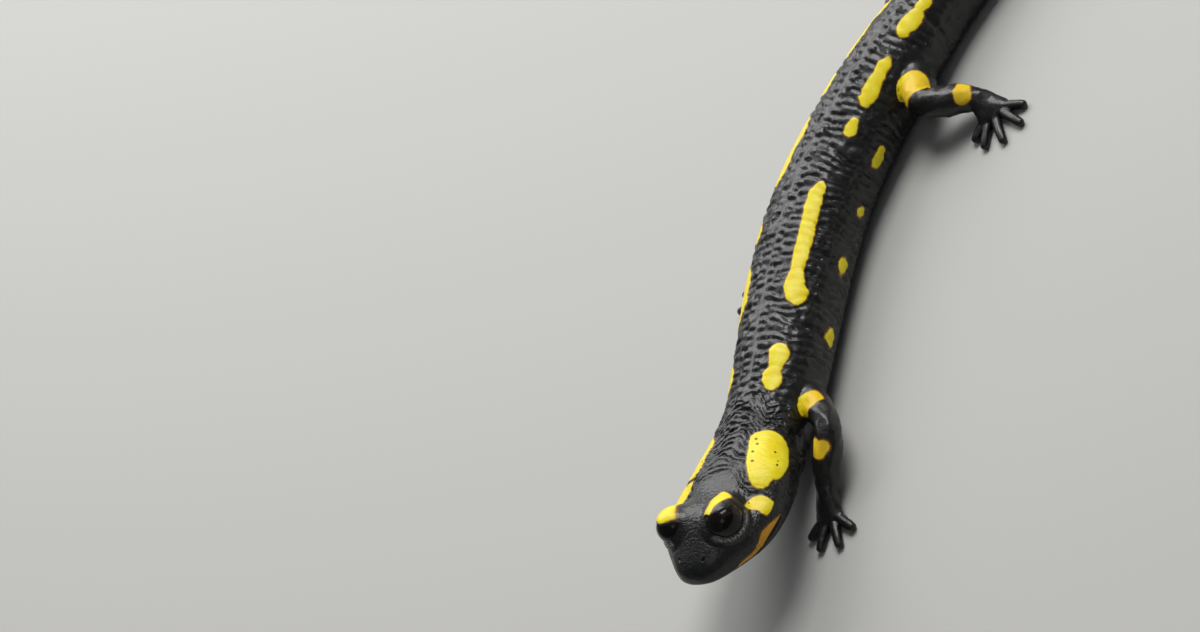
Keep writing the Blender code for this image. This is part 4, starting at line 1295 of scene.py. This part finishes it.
def make_skin_material():
    """Near-black skin and yellow patches with a thin brown rim, pores on the glands, a painted highlight on
    the warts of the low lids, grain and fine wrinkles as bump, an uneven roughness, and a wet coat, thinner
    on yellow."""
    material, tree, shader = new_material("wet_black_and_yellow_skin")
    straight = field(tree, "straightened", "Vector")
    on_skin = field(tree, "skin_place", "Vector")
    squeezed = add_node(tree, "ShaderNodeMapping",
                        {"Vector": straight, "Scale": (0.42, 1.6, 0.42)}).outputs[0]

    wobble = maths(tree, "MULTIPLY_ADD", noise(tree, straight, 1.9, 3.0), 0.16, -0.08)
    depth = maths(tree, "ADD", field(tree, "yellow_depth"), wobble)
    in_yellow = rescale(tree, depth, -0.035, 0.055)
    in_rim = maths(tree, "MULTIPLY", rescale(tree, depth, -0.16, -0.02), rescale(tree, depth, 0.26, 0.04))

    mottle = noise(tree, straight, 0.32, 4.0, 0.6)
    black = mixed(tree, rescale(tree, mottle, 0.35, 0.75), BLACK, GREY_BLACK)
    paler = rescale(tree, noise(tree, straight, 0.55, 3.0, 0.55), 0.38, 0.68)
    bright = mixed(tree, paler, YELLOW, PALE_YELLOW)
    warm = mixed(tree, field(tree, "orange"), bright, ORANGE)
    pore_distance = cells(tree, on_skin, 0.72)
    pore = maths(tree, "MULTIPLY", rescale(tree, pore_distance, 0.20, 0.11), field(tree, "pores"))
    patch = mixed(tree, pore, mixed(tree, in_rim, warm, RIM_BROWN), PORE)
    # the low lid's edge is mixed towards near-white as a painted highlight; its warts are real bumps in the
    # height below
    warty = rescale(tree, noise(tree, straight, 4.5, 3.0, 0.7), 0.42, 0.60)
    lid = maths(tree, "MULTIPLY", field(tree, "lid_warts_and_highlight"), warty)
    dark = mixed(tree, lid, mixed(tree, maths(tree, "MULTIPLY", in_rim, 0.55), black, RIM_BROWN), PAINTED_LID_HIGHLIGHT)
    tree.links.new(mixed(tree, in_yellow, dark, patch), shader.inputs["Base Color"])

    grain = cells(tree, straight, 3.6)
    fine_grain = noise(tree, straight, 9.0, 2.0)
    wrinkles = noise(tree, squeezed, 2.6, 3.0, 0.6)
    height = maths(tree, "MULTIPLY", grain, -0.026)
    height = maths(tree, "ADD", height, maths(tree, "MULTIPLY", fine_grain, 0.012))
    height = maths(tree, "ADD", height, maths(tree, "MULTIPLY", wrinkles, 0.050))
    station = add_node(tree, "ShaderNodeSeparateXYZ", {0: straight}).outputs["Y"]
    height = maths(tree, "MULTIPLY", height, rescale(tree, station, 14.0, 24.0, 1.9, 1.0))
    height = maths(tree, "MULTIPLY", height, rescale(tree, depth, -0.1, 0.15, 1.0, 0.35))
    height = maths(tree, "SUBTRACT", height, maths(tree, "MULTIPLY", pore, 0.05))
    height = maths(tree, "ADD", height, maths(tree, "MULTIPLY", lid, 0.08))
    bump = add_node(tree, "ShaderNodeBump", {"Height": height, "Strength": 1.0, "Distance": METRES})
    tree.links.new(bump.outputs[0], shader.inputs["Normal"])
    rough = rescale(tree, noise(tree, straight, 1.3, 4.0, 0.6), 0.3, 0.7, 0.36, 0.52)
    tree.links.new(rough, shader.inputs["Roughness"])
    tree.links.new(rescale(tree, depth, -0.1, 0.2, 0.34, 0.10), shader.inputs["Coat Weight"])
    tree.links.new(rescale(tree, depth, -0.1, 0.2, 0.36, 0.25), shader.inputs["Specular IOR Level"])
    shader.inputs["Coat Roughness"].default_value = 0.15
    return material


skin.data.materials.clear()
skin.data.materials.append(make_skin_material())
print("skin material with", len(skin.data.materials[0].node_tree.nodes), "nodes")

# %% [markdown]
# ## The eyes
# A fire salamander's eye is a dark, wet ball in which pupil and brown iris hardly part. What makes it
# alive is the clear skin on it, which mirrors the sky. A plain sphere would do for the shape, but the
# front of a real eye swells a little over the pupil, and a sphere's poles would catch the light, so the
# ball is a grid in angles from the gaze, with the swelling as a bell at its front.

# %% The eyeballs
EYE_RINGS, EYE_SIDES = 90, 96
CORNEA_HEIGHT, CORNEA_REACH = 0.10, 0.62


def eyeball(name, side):
    """A ball in rings round the gaze: the radius is the eye's, plus a bell of the angle from the gaze."""
    from_gaze = np.radians(np.linspace(0.8, 179.2, EYE_RINGS))[:, None]
    round_gaze = np.linspace(0, 2 * np.pi, EYE_SIDES, endpoint=False)[None]
    radius = EYE_RADIUS + CORNEA_HEIGHT * hill(from_gaze, 0.0, CORNEA_REACH)
    back, gaze, raised = eye_directions(side)
    sideways = np.cos(round_gaze)[..., None] * back + np.sin(round_gaze)[..., None] * raised * side
    outward = np.cos(from_gaze)[..., None] * gaze + np.sin(from_gaze)[..., None] * sideways
    rings = place(*np.moveaxis(radius[..., None] * outward + EYE_PLACES[side], -1, 0))
    eye = add_piece(name, closed_grid(name, rings))
    angles = np.concatenate([np.repeat(from_gaze.ravel(), EYE_SIDES), [0.0, np.pi]])
    set_field(eye.data, "from_gaze", angles)
    return eye


def make_eye_material():
    """Black pupil, dark brown iris with a faint paler ring and flecks, all under a clear wet coat."""
    material, tree, shader = new_material("wet_dark_eye")
    where = add_node(tree, "ShaderNodeTexCoord").outputs["Object"]
    from_gaze = field(tree, "from_gaze")
    flecks = rescale(tree, noise(tree, where, 2600.0, 3.0, 0.65), 0.52, 0.70)
    iris = mixed(tree, flecks, (0.006, 0.004, 0.003, 1.0), (0.020, 0.011, 0.006, 1.0))
    ring = maths(tree, "MULTIPLY", rescale(tree, from_gaze, 0.50, 0.56), rescale(tree, from_gaze, 0.72, 0.60))
    iris = mixed(tree, maths(tree, "MULTIPLY", ring, 0.4), iris, (0.025, 0.015, 0.008, 1.0))
    colour = mixed(tree, rescale(tree, from_gaze, 0.49, 0.53), (0.0015, 0.0015, 0.0018, 1.0), iris)
    colour = mixed(tree, rescale(tree, from_gaze, 0.95, 1.15), colour, (0.006, 0.005, 0.0045, 1.0))
    tree.links.new(colour, shader.inputs["Base Color"])
    shader.inputs["Roughness"].default_value = 0.22
    shader.inputs["Coat Weight"].default_value = 0.26
    shader.inputs["Coat Roughness"].default_value = 0.04
    shader.inputs["Specular IOR Level"].default_value = 0.15
    return material


eye_material = make_eye_material()
eyes = {}
for letter, side in (("L", 1), ("R", -1)):
    eyes[letter] = eyeball("eyeball_" + letter, side)
    eyes[letter].data.materials.append(eye_material)
print("two eyeballs,", 2 * EYE_RADIUS, "mm across")

# %% Say what rides where and what stands for what
flesh = [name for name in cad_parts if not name.startswith("eye_")]
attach(skin, "root")
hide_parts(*flesh)
for letter, eye in eyes.items():
    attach(eye, "root")
    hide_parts("eye_" + letter)
print("one skin stands for", len(flesh), "solids")

# %% [markdown]
# ## The stage
# Black wet skin shows only what it reflects, so the lights are large and soft. Two of them stand where
# the sky would be, one beyond the tail and the largest beyond the far side, and a faint one stands in
# front. A plain pale floor keeps the outline clear. The camera looks down on the head from the animal's
# left, rolled on its side, through a long lens.

# %% Camera
CAMERA_AZIMUTH, CAMERA_ELEVATION, CAMERA_ROLL = (math.radians(a) for a in (76.8, 34.74, -57.13))
CAMERA_DISTANCE = 538.5
SIDESTEP, RISE = 30.5, 2.26
AIM_STATION = 50.0


def camera_directions():
    """Towards the camera from its azimuth and elevation, then right and up turned by the roll."""
    toward = Vector((math.sin(CAMERA_AZIMUTH) * math.cos(CAMERA_ELEVATION),
                     -math.cos(CAMERA_AZIMUTH) * math.cos(CAMERA_ELEVATION), math.sin(CAMERA_ELEVATION)))
    up = (Vector((0, 0, 1)) - toward * toward.z).normalized()
    right = up.cross(toward)
    c, s = math.cos(CAMERA_ROLL), math.sin(CAMERA_ROLL)
    return toward, c * right + s * up, -s * right + c * up


def turned(right, up, toward):
    """The rotation whose X, Y and Z point right, up and towards."""
    return Matrix((right, up, toward)).transposed().to_quaternion()


toward, right, upward = camera_directions()
aim = Vector(read(LINE_MIDDLE, AIM_STATION))
camera = add_piece("camera", bpy.data.cameras.new("camera"))
camera.location = (aim + CAMERA_DISTANCE * toward - SIDESTEP * right + RISE * upward) * METRES
camera.rotation_mode = "QUATERNION"
camera.rotation_quaternion = turned(right, upward, toward)
camera.data.lens, camera.data.sensor_width = 100.0, 36.0
camera.data.clip_start, camera.data.clip_end = 0.01, 20.0
bpy.context.scene.camera = camera
print("camera at", [round(v, 3) for v in camera.location])


# %% Floor, lights and sky
LIGHT_AIM = Vector((0.0, -0.03, 0.01))
FLOOR_REACH, FLOOR_CORNERS = 3.0, ((-1, -1), (1, -1), (1, 1), (-1, 1))


def softbox(name, direction, distance, width, height, power):
    """A large area light that faces the animal from a direction. Lengths are in metres, power in watts."""
    lamp = bpy.data.lights.new(name, "AREA")
    lamp.shape, lamp.size, lamp.size_y, lamp.energy = "RECTANGLE", width, height, power
    light = add_piece(name, lamp)
    direction = direction.normalized()
    light.location = LIGHT_AIM + direction * distance
    light.rotation_mode = "QUATERNION"
    light.rotation_quaternion = direction.to_track_quat("Z", "Y")


softbox("sky_light", upward * 1.0 + Vector((0, 0, 0.55)) + toward * 0.15, 0.8, 0.42, 0.42, 5.0)
softbox("front_light", toward * 1.0 + Vector((0, 0, 0.6)) - upward * 0.2, 0.9, 0.3, 0.3, 0.25)
softbox("far_light", Vector((-0.70, 0.45, 0.60)), 0.9, 0.9, 0.7, 7.5)

floor_mesh = bpy.data.meshes.new("floor")
floor_mesh.from_pydata([(x * FLOOR_REACH, y * FLOOR_REACH, 0) for x, y in FLOOR_CORNERS], [], [(0, 1, 2, 3)])
floor = add_piece("floor", floor_mesh)
floor_material, _, floor_shader = new_material("pale_floor")
floor_shader.inputs["Base Color"].default_value = (0.50, 0.495, 0.47, 1.0)
floor_shader.inputs["Roughness"].default_value = 0.85
floor_mesh.materials.append(floor_material)

world = bpy.data.worlds.new("studio")
world.use_nodes = True
background = world.node_tree.nodes["Background"]
background.inputs["Color"].default_value = (0.80, 0.86, 0.95, 1.0)
background.inputs["Strength"].default_value = 0.11
bpy.context.scene.world = world
bpy.context.scene.view_settings.view_transform = "Standard"
